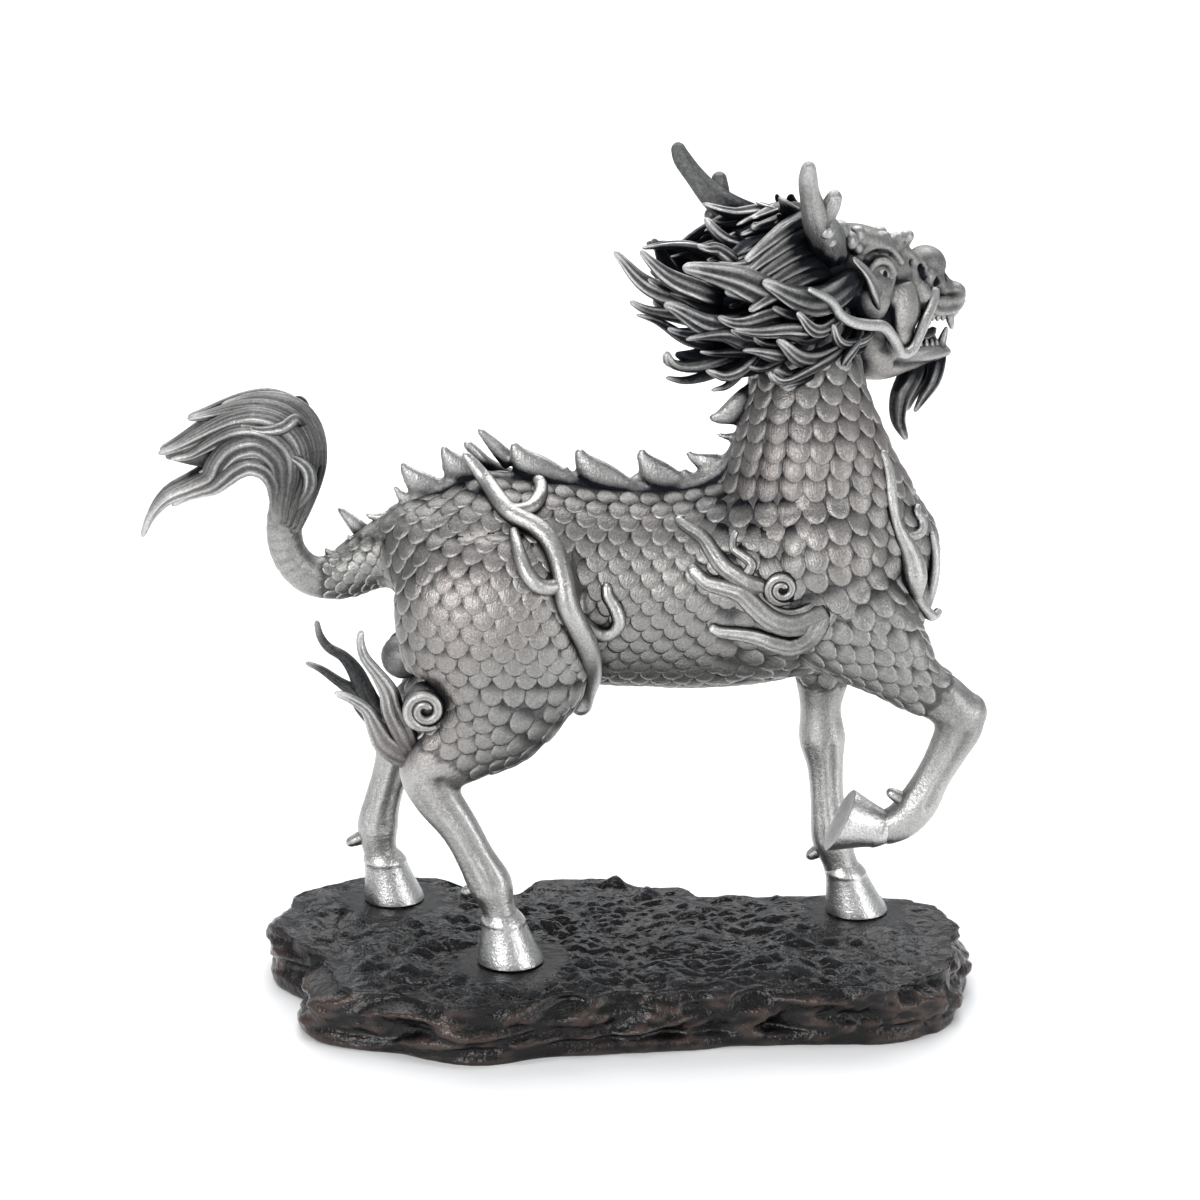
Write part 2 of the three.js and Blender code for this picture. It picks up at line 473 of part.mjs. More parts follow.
// Bands, flames and curls on both flanks. The far flank has only the larger ones.
function skinOrnament(findSkin) {
  const forms = [];
  const shape = { sides: 3, root: 0.95, flat: 0.9 };
  for (const side of [-1, 1]) {
    const face = new THREE.Vector3(0, side, 0);
    const shown = side < 0 ? HIP_BANDS.length : FAR_FLANK_FORMS;
    for (const { path, half } of HIP_BANDS.slice(0, shown)) {
      const steps = Math.min(9, path.length);
      forms.push(lock(drape(path, side, findSkin, SKIN_LIFT), half * FACETED, face, { ...shape, steps }));
    }
    for (const { path, half } of SHOULDER_FLAMES.slice(0, shown)) {
      const steps = path.length - 1;
      forms.push(lock(drape(path, side, findSkin, SKIN_LIFT), half * FACETED, face, { ...shape, steps }));
    }
    const [x, z] = SHOULDER_CURL.centre;
    const centre = new THREE.Vector3(x, findSkin(x, z, side) + side * SKIN_LIFT / 2, z);
    forms.push(curl(centre, SHOULDER_CURL.radius, face, { start: -1.2 }));
  }
  return forms;
}

function chestFlames() {
  const sides = CHEST_FLAMES.flatMap(({ path, half }) => [
    { path, half, side: -1 },
    { path: mirrored(path, MIDDLE), half, side: 1 },
  ]);
  return sides.map(({ path, half, side }) => {
    const face = new THREE.Vector3(0.5, side, 0);
    return lock(path.map(vector), half, face, { root: 0.9, flat: 0.8 });
  });
}

// Flames behind each hock, and a curl on the outer face of each gaskin
function hockFlames() {
  const curls = HOCK_CURLS.flatMap(({ centre: [x, y, z], backing }) => [
    curl(new THREE.Vector3(x, y, z), HOCK_CURL_RADIUS, Y, { start: 2.4 }),
    lump([x, y + backing, z, HOCK_CURL_RADIUS * 0.9, Math.abs(backing), HOCK_CURL_RADIUS * 0.9]),
  ]);
  return [...HOCK_FLAMES.map(({ path, half }) => lock(path.map(vector), half, Y, { root: 0.9 })), ...curls];
}

// A crest blade leans back from its root and curves up to its tip
function crest() {
  return CREST.map(([tipX, tipZ, rootX, rootZ, half, y]) => {
    const root = new THREE.Vector3(rootX, y, rootZ - 2);
    const tip = new THREE.Vector3(tipX, y, tipZ);
    const bend = root.clone().lerp(tip, 0.55).add(new THREE.Vector3(0.1, 0, -0.3).multiplyScalar(half * 2));
    const steps = half < 3 ? 2 : 3;
    return lock([root, bend, tip], half, Y, { steps, flat: 0.36, root: 1.2, taper: 0.85 });
  });
}

// Tuft at the tail's end. Its far side has only the two long strands of the near side.
function tailTuft() {
  const near = TUFT_STRANDS.map(({ path, half }) => (
    lock(path.map(vector), half, Y, { steps: 5, flat: 0.8 })));
  const far = TUFT_STRANDS.slice(1, 3).map(({ path, half }) => {
    const points = mirrored(path, TUFT_MIDDLE).map(vector);
    return lock(points, half, Y, { steps: 4, flat: 0.8 });
  });
  return [sweep(TAIL_TUFT, { sides: 8 }), ...near, ...far];
}

// Locks of the mane, in the head's frame
function mane() {
  const forms = [sweep(MANE_CORE, { sides: 8 }), sweep(NAPE, { sides: 7 }), sweep(FORELOCK, { sides: 7 })];
  for (const side of [-1, 1]) {
    MANE_LOCKS.forEach(({ path, half }, i) => {
      if (side > 0 && i % 2 === 1) return;
      const points = path.map(([a, b, c], j) => (side < 0
        ? new THREE.Vector3(a, b, c)
        : new THREE.Vector3(a + FAR_LOCK_FORWARD, -b, c + Math.sin(i * FAR_LOCK_SWAY) * j)));
      const outward = new THREE.Vector3(0, points[0].y, points[0].z);
      const start = points[0].clone().addScaledVector(X, LOCK_LEAD).addScaledVector(outward, LOCK_SINK - 1);
      const face = outward.clone().normalize();
      const shape = { sides: 3, steps: points.length, flat: 0.8 };
      forms.push(lock([start, ...points], half * FACETED, face, shape));
    });
  }
  return forms;
}

function headForms() {
  const both = (make) => [make(1), make(-1)];
  const flip = (rows, side) => rows.map(([a, b, ...rest]) => [a, b * side, ...rest]);
  const sheared = ([a, b, ...rest]) => [a + FAR_HORN_FORWARD * Math.max(0, b), b, ...rest];
  const tooth = { sides: 3, steps: 2, flat: 1, root: 1 };
  const cone = (root, tip, radius) => lock([root, tip], radius, X, tooth);
  const forms = [
    sweep(SKULL, { sides: 9 }),
    sweep(LOWER_JAW, { sides: 7 }),
    sweep(UPPER_LIP, { sides: 6 }),
    lump(NOSE),
    ...LUMPS.flatMap((size) => both((side) => lump(flip([size], side)[0]))),
    ...both((side) => sweep(flip(BROW, side), { sides: 4 })),
    ...both((side) => sweep(flip(HORN, side).map(sheared), { sides: 6 })),
    ...both((side) => sweep(flip(HORN_BRANCH, side).map(sheared), { sides: 5 })),
    ...both((side) => sweep(flip(WHISKER, side), { sides: 3, steps: 8 })),
    ...BEARD.map(({ path, half }) => lock(path.map(vector), half, Y, { steps: 4, flat: 0.8, root: 0.9 })),
    ...mane(),
  ];
  for (const side of [1, -1]) {
    for (const { root, tip, radius } of FANGS) {
      const [from, to] = flip([root, tip], side).map(vector);
      forms.push(cone(from, to, radius));
    }
    for (const { from, to, count, length } of TOOTH_ROWS) {
      const [first, last] = flip([from, to], side).map(vector);
      for (let i = 0; i < count; i += 1) {
        const root = first.clone().lerp(last, i / (count - 1));
        forms.push(cone(root, root.clone().addScaledVector(Z, length), TOOTH_RADIUS));
      }
    }
  }
  return forms.map((form) => form.applyMatrix4(HEAD));
}

function qilin() {
  const body = unite(bodyForms());
  const findSkin = skinFinder(toGeometry(body));
  const flames = [...skinOrnament(findSkin), ...chestFlames(), ...hockFlames()];
  const ornament = [...flames, ...crest(), ...tailTuft(), ...headForms()];
  return withoutPockets(toGeometry(body.add(unite(ornament))));
}

// Level spots on the rock, one under each standing hoof: middle and radius
function seats() {
  return HOOVES.filter(({ faces }) => faces === DOWN).map(({ sole: [x, y, , a] }) => ({
    x: x * UNIT,
    y: y * UNIT + FIGURE_SET_BACK,
    radius: a * UNIT + SEAT_FLAT,
  }));
}

// Ripples of the rock at a point, none on the level spots
function ripple(x, y) {
  const waves = Math.sin(x * 0.21 + Math.sin(y * 0.17) * 1.8) + Math.sin(y * 0.31 + x * 0.09 + 1.3)
    + 0.7 * Math.sin(x * 0.43 - y * 0.37);
  const clear = Math.min(...seats().map((seat) => {
    const beyond = Math.hypot(x - seat.x, y - seat.y) - seat.radius;
    return THREE.MathUtils.clamp(beyond / SEAT_BLEND, 0, 1);
  }));
  return (waves / 2.7) * BASE_RELIEF * clear;
}

function rock() {
  const outline = new THREE.CatmullRomCurve3(ROCK_OUTLINE.map(([x, y]) => (
    new THREE.Vector3((x / 200) * BASE_LENGTH, (y / 200) * BASE_DEPTH, 0))), true, 'centripetal');
  const edge = outline.getSpacedPoints(ROCK_STEPS).slice(0, ROCK_STEPS);
  const sides = ROCK_RINGS.map(([reach, rise], row) => edge.map((point, i) => {
    const rough = row === 0 || row === ROCK_RINGS.length - 1 ? 0 : 0.012 * Math.sin(i * 1.7 + row * 2.1);
    const p = point.clone().multiplyScalar(reach + rough);
    const top = rise === 1 ? ripple(p.x, p.y) - 0.6 : 0;
    return new THREE.Vector3(p.x, p.y, rise * BASE_HEIGHT + top);
  }));
  const top = ROCK_TOP_RINGS.map((reach) => edge.map((point) => {
    const p = point.clone().multiplyScalar(reach);
    return new THREE.Vector3(p.x, p.y, BASE_HEIGHT + ripple(p.x, p.y));
  }));
  return skin([...sides, ...top, [new THREE.Vector3(0, 0, BASE_HEIGHT + ripple(0, 0))]]);
}

const pewter = new THREE.MeshStandardMaterial({ color: 0x8d8f90, roughness: 0.42, metalness: 0.95 });
const darkRock = new THREE.MeshStandardMaterial({ color: 0x2a2624, roughness: 0.45, metalness: 0.7 });

const figure = new THREE.Mesh(qilin(), pewter);
figure.name = 'qilin';
figure.scale.setScalar(UNIT);
figure.position.set(0, FIGURE_SET_BACK, BASE_HEIGHT + SEAT_GAP);

const base = new THREE.Mesh(rock(), darkRock);
base.name = 'rock_base';

const part = new THREE.Group();
part.add(figure, base);

export default part;
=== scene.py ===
import math
import random

import bpy
import numpy as np
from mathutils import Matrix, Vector, noise
from mathutils.bvhtree import BVHTree
from mathutils.kdtree import KDTree


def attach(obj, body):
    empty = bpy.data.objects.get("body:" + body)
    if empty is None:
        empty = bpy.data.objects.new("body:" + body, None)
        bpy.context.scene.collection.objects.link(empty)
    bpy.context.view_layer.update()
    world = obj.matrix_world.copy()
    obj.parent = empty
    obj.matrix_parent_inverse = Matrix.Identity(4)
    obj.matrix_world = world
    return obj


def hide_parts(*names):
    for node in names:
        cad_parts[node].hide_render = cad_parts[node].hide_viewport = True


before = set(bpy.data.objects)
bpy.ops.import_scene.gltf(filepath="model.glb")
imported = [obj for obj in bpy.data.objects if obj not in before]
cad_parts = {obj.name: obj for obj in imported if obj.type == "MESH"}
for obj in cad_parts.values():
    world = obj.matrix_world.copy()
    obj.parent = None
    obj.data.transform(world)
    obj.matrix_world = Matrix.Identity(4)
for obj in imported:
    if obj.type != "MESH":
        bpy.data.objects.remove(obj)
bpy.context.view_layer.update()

MM = 0.001

# The figure's tables are in figure units, two hundred to its height. Their origin is on the plane
# of the soles, a little behind the middle of the base.
FIGURE_HEIGHT = 200.0
UNIT = FIGURE_HEIGHT / 200
SET_BACK = 5.0  # from the middle of the base back to that origin, along Y
SOLES = 15.3  # plane of the soles above the underside of the base
MIDDLE = 2.0  # the body's plane of symmetry, along Y

X = np.array([1.0, 0.0, 0.0])
Y = np.array([0.0, 1.0, 0.0])
Z = np.array([0.0, 0.0, 1.0])
NEAR = -Y  # towards the side that the photograph shows

# The head looks 35 degrees to the left of the body's direction and leans 5 degrees to the left
HEAD_ORIGIN = np.array([42.4, 11.0, 163.0])
HEAD_TURN = math.radians(35)
HEAD_LEAN = math.radians(5)

# Body sweeps: place, half size in the plane of X and Z, and half size along Y
TRUNK = [
    [-57, 2, 97, 6, 7], [-52, 2, 97.5, 14, 15], [-44, 2, 95.5, 20.5, 20], [-34, 2, 94, 23.8, 22],
    [-22, 2, 92, 25, 21], [-9, 2, 90.4, 24.9, 19.5], [5, 2, 89.5, 24.7, 20], [20, 2, 89.8, 25.3, 21.5],
    [33, 2, 92, 26.1, 23], [46, 2, 95.5, 26.3, 22.5], [56.5, 2, 97, 24, 20], [65, 2, 96, 18.5, 16],
    [71.5, 2, 93.5, 11.5, 10], [74.4, 2, 91.5, 4.5, 5],
]
NECK = [
    [50, 2, 100, 24, 19], [46.6, 2, 114, 22.8, 18], [45.6, 2.5, 128, 17.6, 15], [45, 4.5, 138, 14, 11.6],
    [44.2, 8, 148, 12.6, 9.6], [43, 11, 158, 11, 8], [42.5, 12, 165, 8, 6],
]
NEAR_HIND_LEG = [
    [-31, -9, 104, 18, 10], [-30.5, -13, 95, 23, 13], [-30, -15, 84, 23.3, 13.5],
    [-28.5, -16, 73, 21, 12.5], [-31.5, -16.5, 63, 15.5, 11], [-38.5, -17, 55.5, 10.5, 8],
    [-46, -17.5, 49, 7.6, 6], [-44.5, -17.5, 42.5, 6.1, 5], [-38.7, -18, 33.7, 4.9, 4.3],
    [-34.8, -18.3, 26, 4.8, 4.3], [-31.2, -18.5, 18.7, 5.5, 4.9], [-29.5, -19, 13.5, 4.2, 4.2],
    [-28.6, -19.3, 9, 4.8, 4.6],
]
FAR_HIND_LEG = [
    [-32, 13, 104, 18, 10], [-32, 17, 95, 22, 12], [-32, 19, 84, 22.5, 13], [-32, 20, 73, 19.5, 12],
    [-37, 20.5, 63, 14, 10.5], [-44.5, 20.8, 55, 9.8, 7.8], [-53, 21, 48.5, 7.2, 6],
    [-55.7, 21, 41.4, 5.6, 4.8], [-57.4, 21, 34.6, 4.8, 4.2], [-59.8, 21, 26.5, 4.7, 4.2],
    [-61.3, 21, 18.8, 5.3, 4.7], [-60.8, 20.5, 13, 4.3, 4.2], [-59.8, 20.3, 9, 4.8, 4.6],
]
FAR_FORE_LEG = [
    [50, 12, 86, 13, 9], [50.5, 14.5, 73, 10, 8], [51, 16, 62, 7.2, 6.5], [50.7, 16, 52.6, 5.2, 5],
    [51.2, 15.5, 45.3, 6, 5.3], [52.1, 15, 38.2, 4.7, 4.3], [52.7, 14, 29.2, 4.4, 4],
    [54.1, 13, 18.7, 5.2, 4.8], [56, 12.5, 13, 4.4, 4.2], [57.3, 12.2, 9, 4.8, 4.6],
]
NEAR_FORE_LEG = [
    [46, -11, 94, 15, 9], [55, -14, 86, 14.5, 9.5], [64.5, -15.6, 78, 11, 8], [72, -16.5, 70.5, 7, 6],
    [79, -17, 66.3, 6.1, 5.6], [82.4, -17, 61.5, 6, 5.5], [79.8, -16.7, 54, 4.9, 4.6],
    [76.2, -16.3, 46.5, 4.4, 4.2], [72.8, -16, 39.5, 5, 4.6], [68.8, -15.8, 34.8, 4.7, 4.5],
    [63.5, -15.6, 32.6, 4.3, 4.2],
]
TAIL = [
    [-47, 2, 101, 11, 11], [-54, 2, 99, 9.5, 9], [-60.5, 1.5, 96.5, 7.5, 7.2], [-68, 0, 92.8, 5.9, 5.7],
    [-75, -2, 93.5, 4.9, 4.8], [-79.6, -3.5, 99, 4.5, 4.5], [-80.8, -4.5, 106, 4.4, 4.4],
    [-79.6, -5, 112.4, 4.6, 4.6], [-77.5, -6, 118, 5, 5.2], [-76.5, -6.5, 122, 5.5, 6.5],
]
WRINKLE_GAP = 2.6  # between two wrinkles of the tail
WRINKLE_DEPTH = 0.08
# Rounded masses on the body: centre, then half sizes along X, Y and Z
MASSES = [
    [-33, -11, 86, 21, 12.5, 22], [-33, 15, 86, 21, 12.5, 22], [48, -10, 98, 17, 12.5, 19],
    [48, 14, 98, 17, 12.5, 19], [38, -12, 88, 10, 10, 12], [38, 16, 88, 10, 10, 12],
    [66, -7, 88, 9, 7, 11], [66, 11, 88, 9, 7, 11], [85.6, -17, 63.6, 3.4, 4.2, 4.6],
    [-48.6, -17.3, 51.4, 4.6, 4, 4.4], [-55.4, 21, 51, 4.6, 4, 4.4],
]

# Hooves: centre of the coronet and its half sizes, centre of the sole and its
# half sizes, and the direction that the sole faces
DOWN = (0, 0, -1)
HOOVES = [
    {"coronet": [-28.3, -19.4, 10.5, 5.4, 5.2], "sole": [-26.6, -20, 0, 8.3, 7.6], "faces": DOWN},
    {"coronet": [-59.6, 20.3, 10.5, 5.5, 5.2], "sole": [-57.2, 20, 0, 7.8, 7.3], "faces": DOWN},
    {"coronet": [57.5, 12.2, 10.5, 5.3, 5.1], "sole": [60.6, 12, 0, 8, 7.4], "faces": DOWN},
    {"coronet": [64.2, -15.6, 32.6, 4.9, 4.7], "sole": [53.9, -15.5, 35, 8.4, 7.5], "faces": (-0.9, 0, 0.44)},
]
# Profile of a hoof: share of the way from coronet to sole, and share of the size there
HOOF_PROFILE = [
    [-0.2, 0.84], [-0.1, 0.95], [-0.02, 1.0], [0.03, 1.005], [0.07, 0.97], [0.12, 0.955], [0.3, 0.95],
    [0.55, 0.965], [0.8, 0.99], [0.94, 1.0], [0.985, 0.99], [1.0, 0.965], [1.0, 0.6],
]
# Dew claws: root and tip
DEW_CLAWS = [
    [[-33, -18.4, 18.6], [-38.6, -18.4, 17.2]], [[-63, 21, 17], [-69.5, 21, 14.2]],
    [[52.5, 13.2, 16.5], [47.6, 13.2, 13.6]], [[71, -16, 39.5], [65.2, -16, 43]],
]

# Flames of the crest along the back: tip x, tip z, root x, root z, y and girth
CREST = [
    [-71.4, 99.4, -66.5, 96.5, 0, 1.2], [-65.9, 102.4, -60, 99, 1, 1.2],
    [-61.4, 107.2, -51, 107.5, 2, 0.8], [-54.2, 114.4, -48, 109, 2, 0.8],
    [-52.3, 120.2, -41.5, 112, 2, 1.0], [-42.2, 119.6, -39.6, 115.6, 2, 0.6],
    [-42.4, 124.4, -31.5, 114.5, 2, 1.0], [-25.3, 125.2, -12.5, 113.5, 2, 1.1],
    [-12.8, 119.4, -7.6, 113, 2, 0.9], [-9.7, 123.8, 2.2, 112.4, 2, 1.05], [4, 117.4, 8, 112.6, 2, 0.9],
    [5.4, 123.6, 16, 112.8, 2, 1.05], [16.4, 122.9, 29.5, 119.5, 2.4, 0.85],
    [15.7, 118.7, 23.5, 115, 2, 0.7], [23.6, 127.2, 33.5, 128.5, 2.6, 0.6],
    [21.6, 131.1, 35.5, 139.5, 3, 1.0],
]
# One flame of the crest, from its tip to its root: along, sag and half width, in shares of its length
CREST_PROFILE = [[0, 0, 0.055], [0.08, 0.055, 0.09], [0.18, 0.085, 0.135], [0.4, 0.11, 0.225],
                 [0.68, 0.09, 0.26], [1, 0, 0.22]]
CREST_THICKNESS = 0.55  # of a flame, as a share of its width
CREST_LEAST = 0.75  # least half width of a flame
CREST_TALLER = 0.7  # rounding the skin takes this much off a tip
# Thin spikes on the far side of the crest, as sweeps
CREST_SPIKES = [
    [[-26, 5, 119.5, 2.4, 1.6], [-30, 5, 124, 1.8, 1.3], [-34.1, 5, 128.4, 0.8, 0.8]],
    [[-60.5, 4.5, 100.5, 2.6, 1.8], [-64.5, 4.5, 104.6, 1.9, 1.4], [-68.5, 4.5, 108.8, 0.7, 0.7]],
]
# Low fin under the flames: places with its half height and half thickness
FIN = [
    [-66, 1, 96, 2.6, 1.8], [-55, 2, 104.6, 3.6, 2.2], [-45, 2, 111.2, 4.4, 2.6],
    [-34, 2, 113.8, 4.8, 2.8], [-20, 2, 112.6, 4.8, 2.8], [-5, 2, 111.2, 4.8, 2.8],
    [10, 2, 111.2, 4.8, 2.8], [20, 2, 113.4, 5, 3], [28.5, 2, 118.2, 5.4, 3.2],
    [33.4, 2.3, 126, 5.8, 3.4], [36, 3, 136, 5.4, 3.2], [38.4, 4, 145, 4.4, 2.8],
]

# Bands that lie on the skin: points of [x, z, half width]
HIP_BANDS = [
    [[-9.8, 59.2, 2.6], [-8.5, 65.4, 2.9], [-7.1, 71.3, 2.9], [-7.4, 80.3, 2.9], [-10, 87.7, 2.8],
     [-12.5, 93.7, 2.75], [-13.7, 99.9, 2.6], [-15.4, 104.9, 2.6], [-18.1, 108.3, 2.6],
     [-21.4, 110.4, 2.5], [-25.4, 112.1, 2.4], [-28.3, 114.2, 2.3], [-30.6, 116.6, 2.1],
     [-33.1, 119.4, 1.8], [-35.4, 122.4, 1.4], [-37.4, 124.6, 0.9]],
    [[-12.9, 98, 1.6], [-14.6, 97.8, 1.9], [-16.8, 97.6, 2], [-19.5, 98.6, 2], [-22, 101.5, 1.9],
     [-23.6, 104.9, 1.7], [-24.6, 107.6, 1.4], [-25.3, 109.4, 1.2]],
    [[-12.4, 92.7, 1.8], [-8.4, 87.2, 2], [-4.9, 83.9, 1.9], [-2, 84.2, 1.8], [-0.1, 87.1, 1.8],
     [-1.2, 90.9, 1.7], [-2.9, 93.7, 1.5], [-3, 96.6, 1.2]],
    [[-29.6, 115.2, 1.5], [-26.6, 113, 2], [-23.4, 112.7, 2], [-20.4, 113.6, 1.9], [-18.8, 115.8, 1.8],
     [-20.2, 118.6, 1.6]],
]
# Flames that lie on the skin: points of [x, z], and a half width
SHOULDER_FLAMES = [
    ([[49, 90.4], [46.1, 89], [41.5, 87.5], [36.4, 88.8], [32.3, 91.9], [28.9, 95.2], [24.3, 96.4],
      [20.4, 97.4], [18.1, 99.5], [16.6, 101]], 2.8),
    ([[49, 90], [47.2, 87.3], [45.1, 84], [41.7, 81.8], [37.1, 82.8], [32.5, 84.2], [27.9, 84.8],
      [23.3, 85.4], [21.4, 86.6]], 2.5),
    ([[35.5, 95.8], [31.2, 97.2], [27.7, 99.2], [24.6, 101.2], [22.1, 104.2], [19.8, 107.1],
      [15.3, 109.3], [13.6, 110.6]], 2.2),
    ([[28.4, 98.6], [30.6, 100.1], [31.3, 102.1], [29.4, 103.6], [27.1, 105.2], [27, 107.2],
      [28, 109]], 1.3),
    ([[46.5, 92.6], [44.9, 91.6], [41.5, 90.4], [36.9, 91.4], [33.7, 94.3], [33.4, 97]], 1.2),
]
SHOULDER_CURL = {"centre": [38.6, 96.4], "radius": 5.3}
FAR_FLANK_FORMS = 2  # bands, and flames, on the far flank
SKIN_LIFT = 0.9  # middle line of a flame above the skin
BAND_LIFT = 0.85  # and of a band, as a share of its half width
FLAME_ROOT_SINK = (2.4, 0.9)  # how far the first two points of a flame sink into the shoulder

# Flames at the chest: points of [x, y, z, half width]
CHEST_FLAMES = [
    [[72.5, -9, 86, 1.2], [71.2, -11.6, 91.5, 1.7], [70.9, -11.8, 95.4, 2.7], [70.3, -11.4, 99.4, 2.7],
     [69, -11.6, 103.3, 2.1], [67.2, -11.8, 107, 1.5], [66, -11.2, 110.4, 1.2],
     [65.1, -10.2, 114.6, 1.25], [64.7, -8.4, 118.8, 1.3], [64, -6.4, 122.4, 1.2],
     [62.6, -5.2, 126, 0.8]],
    [[67.4, -11, 107.4, 1.1], [69, -10.4, 106, 1.1], [70.9, -9.2, 105.6, 1.1], [72.6, -7.6, 106.4, 1.1],
     [72.8, -6.2, 108.4, 1.1], [71.6, -5.6, 110.4, 1], [71.8, -4.2, 112.2, 0.7]],
    [[73.6, -7, 86, 1.4], [75.4, -6, 92, 1.5], [76.2, -5.4, 97.2, 1.3], [76, -5, 101.4, 1.2],
     [75.2, -4.4, 105.4, 0.9]],
    [[70.6, -12, 92, 1.6], [73.6, -11, 87.6, 1.3], [76, -9, 85.4, 1.1], [77.8, -7.4, 86.6, 0.8]],
]
# Flames that stand free behind the hocks: points of [x, y, z], and a half width
HOCK_FLAMES = [
    ([[-46.5, -17, 50], [-50.6, -18, 52], [-54.1, -18.5, 54], [-56.9, -19.5, 57], [-58.7, -20, 61.2],
      [-60.7, -20, 65.2], [-64.4, -20, 68], [-68.4, -20, 69.6]], 3.3),
    ([[-46, -17.5, 52.5], [-50, -18.5, 55], [-52.2, -19.5, 59.9], [-54.3, -20, 65.2],
      [-55.3, -20.5, 69.9], [-57.9, -20.5, 74.4], [-61, -20, 78.7], [-61.9, -20, 82.4],
      [-61.6, -20, 85.4]], 3.3),
    ([[-51, 21, 46], [-58.5, 21, 48.5], [-62.2, 21.5, 51.5], [-64.2, 22, 55.5], [-66.2, 22, 60.5],
      [-69.2, 22, 64.5], [-72.8, 22, 66.8], [-74.8, 22, 69.8], [-75.7, 22, 74]], 3.0),
    ([[-52, 20, 44], [-59.5, 20, 47], [-63.7, 21, 50.8], [-67.3, 22, 55.3], [-71.2, 22, 58.3],
      [-75.1, 22, 61.2], [-78.6, 22, 62.8]], 2.8),
]
# Curls on the gaskins, and how far behind each the middle of its backing lies
HOCK_CURLS = [{"centre": [-46.3, -25, 67.2], "backing": 4}, {"centre": [-54, 26.5, 65], "backing": -6}]
HOCK_CURL_RADIUS = 6.7

# Tuft at the tail's end: the sweep of its core, and its strands on the near side with their half
# widths
TAIL_TUFT = [
    [-78.8, -6, 111, 4.4, 4.6], [-78.2, -6.3, 117, 5.8, 6.2], [-78, -7, 123.5, 7.4, 8.4],
    [-81.4, -7, 128.4, 8.8, 9.2], [-88.1, -7, 130, 9.4, 8.8], [-95.3, -7, 128.4, 8.0, 7.6],
    [-102, -7, 127, 5.6, 5.6], [-108.3, -7, 125.6, 1.8, 2],
]
TUFT_MIDDLE = -7.0  # its plane of symmetry, along Y
TUFT_STRANDS = [
    ([[-78.6, -7, 106], [-75.5, -7, 114.6], [-73.2, -7, 124], [-74, -8, 131.4], [-77.4, -8, 136.2],
      [-84, -8, 138.6], [-90.1, -7.6, 138.4], [-94.7, -7, 137.4]], 3.0),
    ([[-79.1, -9, 108], [-76.2, -10.5, 118], [-74.6, -11.5, 125.7], [-75.7, -12, 131.6],
      [-79, -12, 135.4], [-84.7, -12, 137.6], [-91.8, -10.5, 137], [-98.4, -9, 135.4],
      [-102.8, -8, 134.4]], 3.0),
    ([[-80, -10, 109], [-77.4, -13, 118.5], [-76, -14, 125.7], [-77.2, -15, 131], [-80.6, -15, 134.4],
      [-86.1, -14.5, 136], [-93.2, -12.5, 134.2], [-100.5, -11, 130.6], [-106.4, -10, 127.5],
      [-109.9, -9, 126]], 3.0),
    ([[-80.6, -11, 110], [-78.7, -14, 118.8], [-77.8, -16, 125.6], [-79.2, -16.5, 129.6],
      [-82.9, -16, 132.4], [-88.2, -15.5, 133.4], [-94.1, -13.5, 131.4], [-99.6, -12, 128],
      [-103.6, -10.5, 125.6], [-106.8, -10, 125]], 2.7),
    ([[-81.1, -11, 110], [-80.1, -14, 118.3], [-79.8, -16, 124.1], [-81.7, -16.5, 128.3],
      [-86.3, -16, 130.5], [-91.2, -15, 129], [-94.8, -13, 125.4], [-96.8, -11.5, 121.3],
      [-101, -10.5, 118.6], [-106.8, -10, 116.2], [-111, -10, 112.4], [-113.6, -10, 107.9],
      [-114.4, -10, 105.6]], 2.8),
    ([[-81.6, -10, 110], [-81.3, -13, 117.5], [-81.9, -15, 121.9], [-84.3, -15.5, 124.6],
      [-88.5, -15, 125.2], [-92.6, -13.5, 122.4], [-96.6, -12, 118.8], [-102.5, -10.5, 116.2],
      [-107, -10, 113.4]], 2.5),
    ([[-74.4, -12, 133], [-76.4, -15.4, 136.2], [-79.2, -17.4, 134.8], [-84.2, -17.6, 134.2],
      [-89.4, -16.4, 135.1]], 1.4),
    ([[-77, -12, 113.6], [-73.8, -14.4, 119.4], [-73.8, -16.4, 124], [-75.8, -17.6, 126.7],
      [-80.2, -18.2, 129]], 1.6),
]
TUFT_MASSES = 6  # the first strands are broad, the others lie on them
# Finer locks between two masses: share of the way from one to the next, rise, and half width
TUFT_BETWEEN = ((0.33, 0.9, 1.7), (0.67, 0.7, 1.6))

# Head sweeps, in the head's frame: place forward, to the animal's left and up, then half sizes
SKULL = [
    [-4, 0, 3, 11, 9], [4, 0, 2.5, 13.5, 12], [12, 0, 1.6, 11.8, 11.6], [20, 0, 1.2, 10.6, 10.4],
    [27, 0, 0, 8.6, 8], [33, 0, -2.6, 6.8, 6.2], [38, 0, -5, 5.4, 5.8], [43, 0, -6.4, 4.6, 5.4],
    [46.6, 0, -7.4, 2.6, 3.4],
]
LOWER_JAW = [
    [10, 0, -12, 7, 9], [17.5, 0, -18, 6.6, 9], [24, 0, -21, 6.2, 8.2], [31, 0, -22, 4.3, 7],
    [38, 0, -22.4, 2.7, 6], [44.8, 0, -22.6, 1.7, 4],
]
UPPER_LIP = [
    [42, 0, -7, 3.4, 5.6], [47, 0, -8.6, 2.6, 4.6], [50.6, 0, -9.6, 1.7, 3.2], [52, 0, -9.9, 0.6, 1.4],
]
MANE_CORE = [
    [6, 0, 2, 10, 9], [-4, 0, 3, 12, 11.5], [-14, 0, 2, 11, 12], [-23, 0, 0.5, 8.6, 9.5],
    [-30, 0, 0, 4, 6],
]
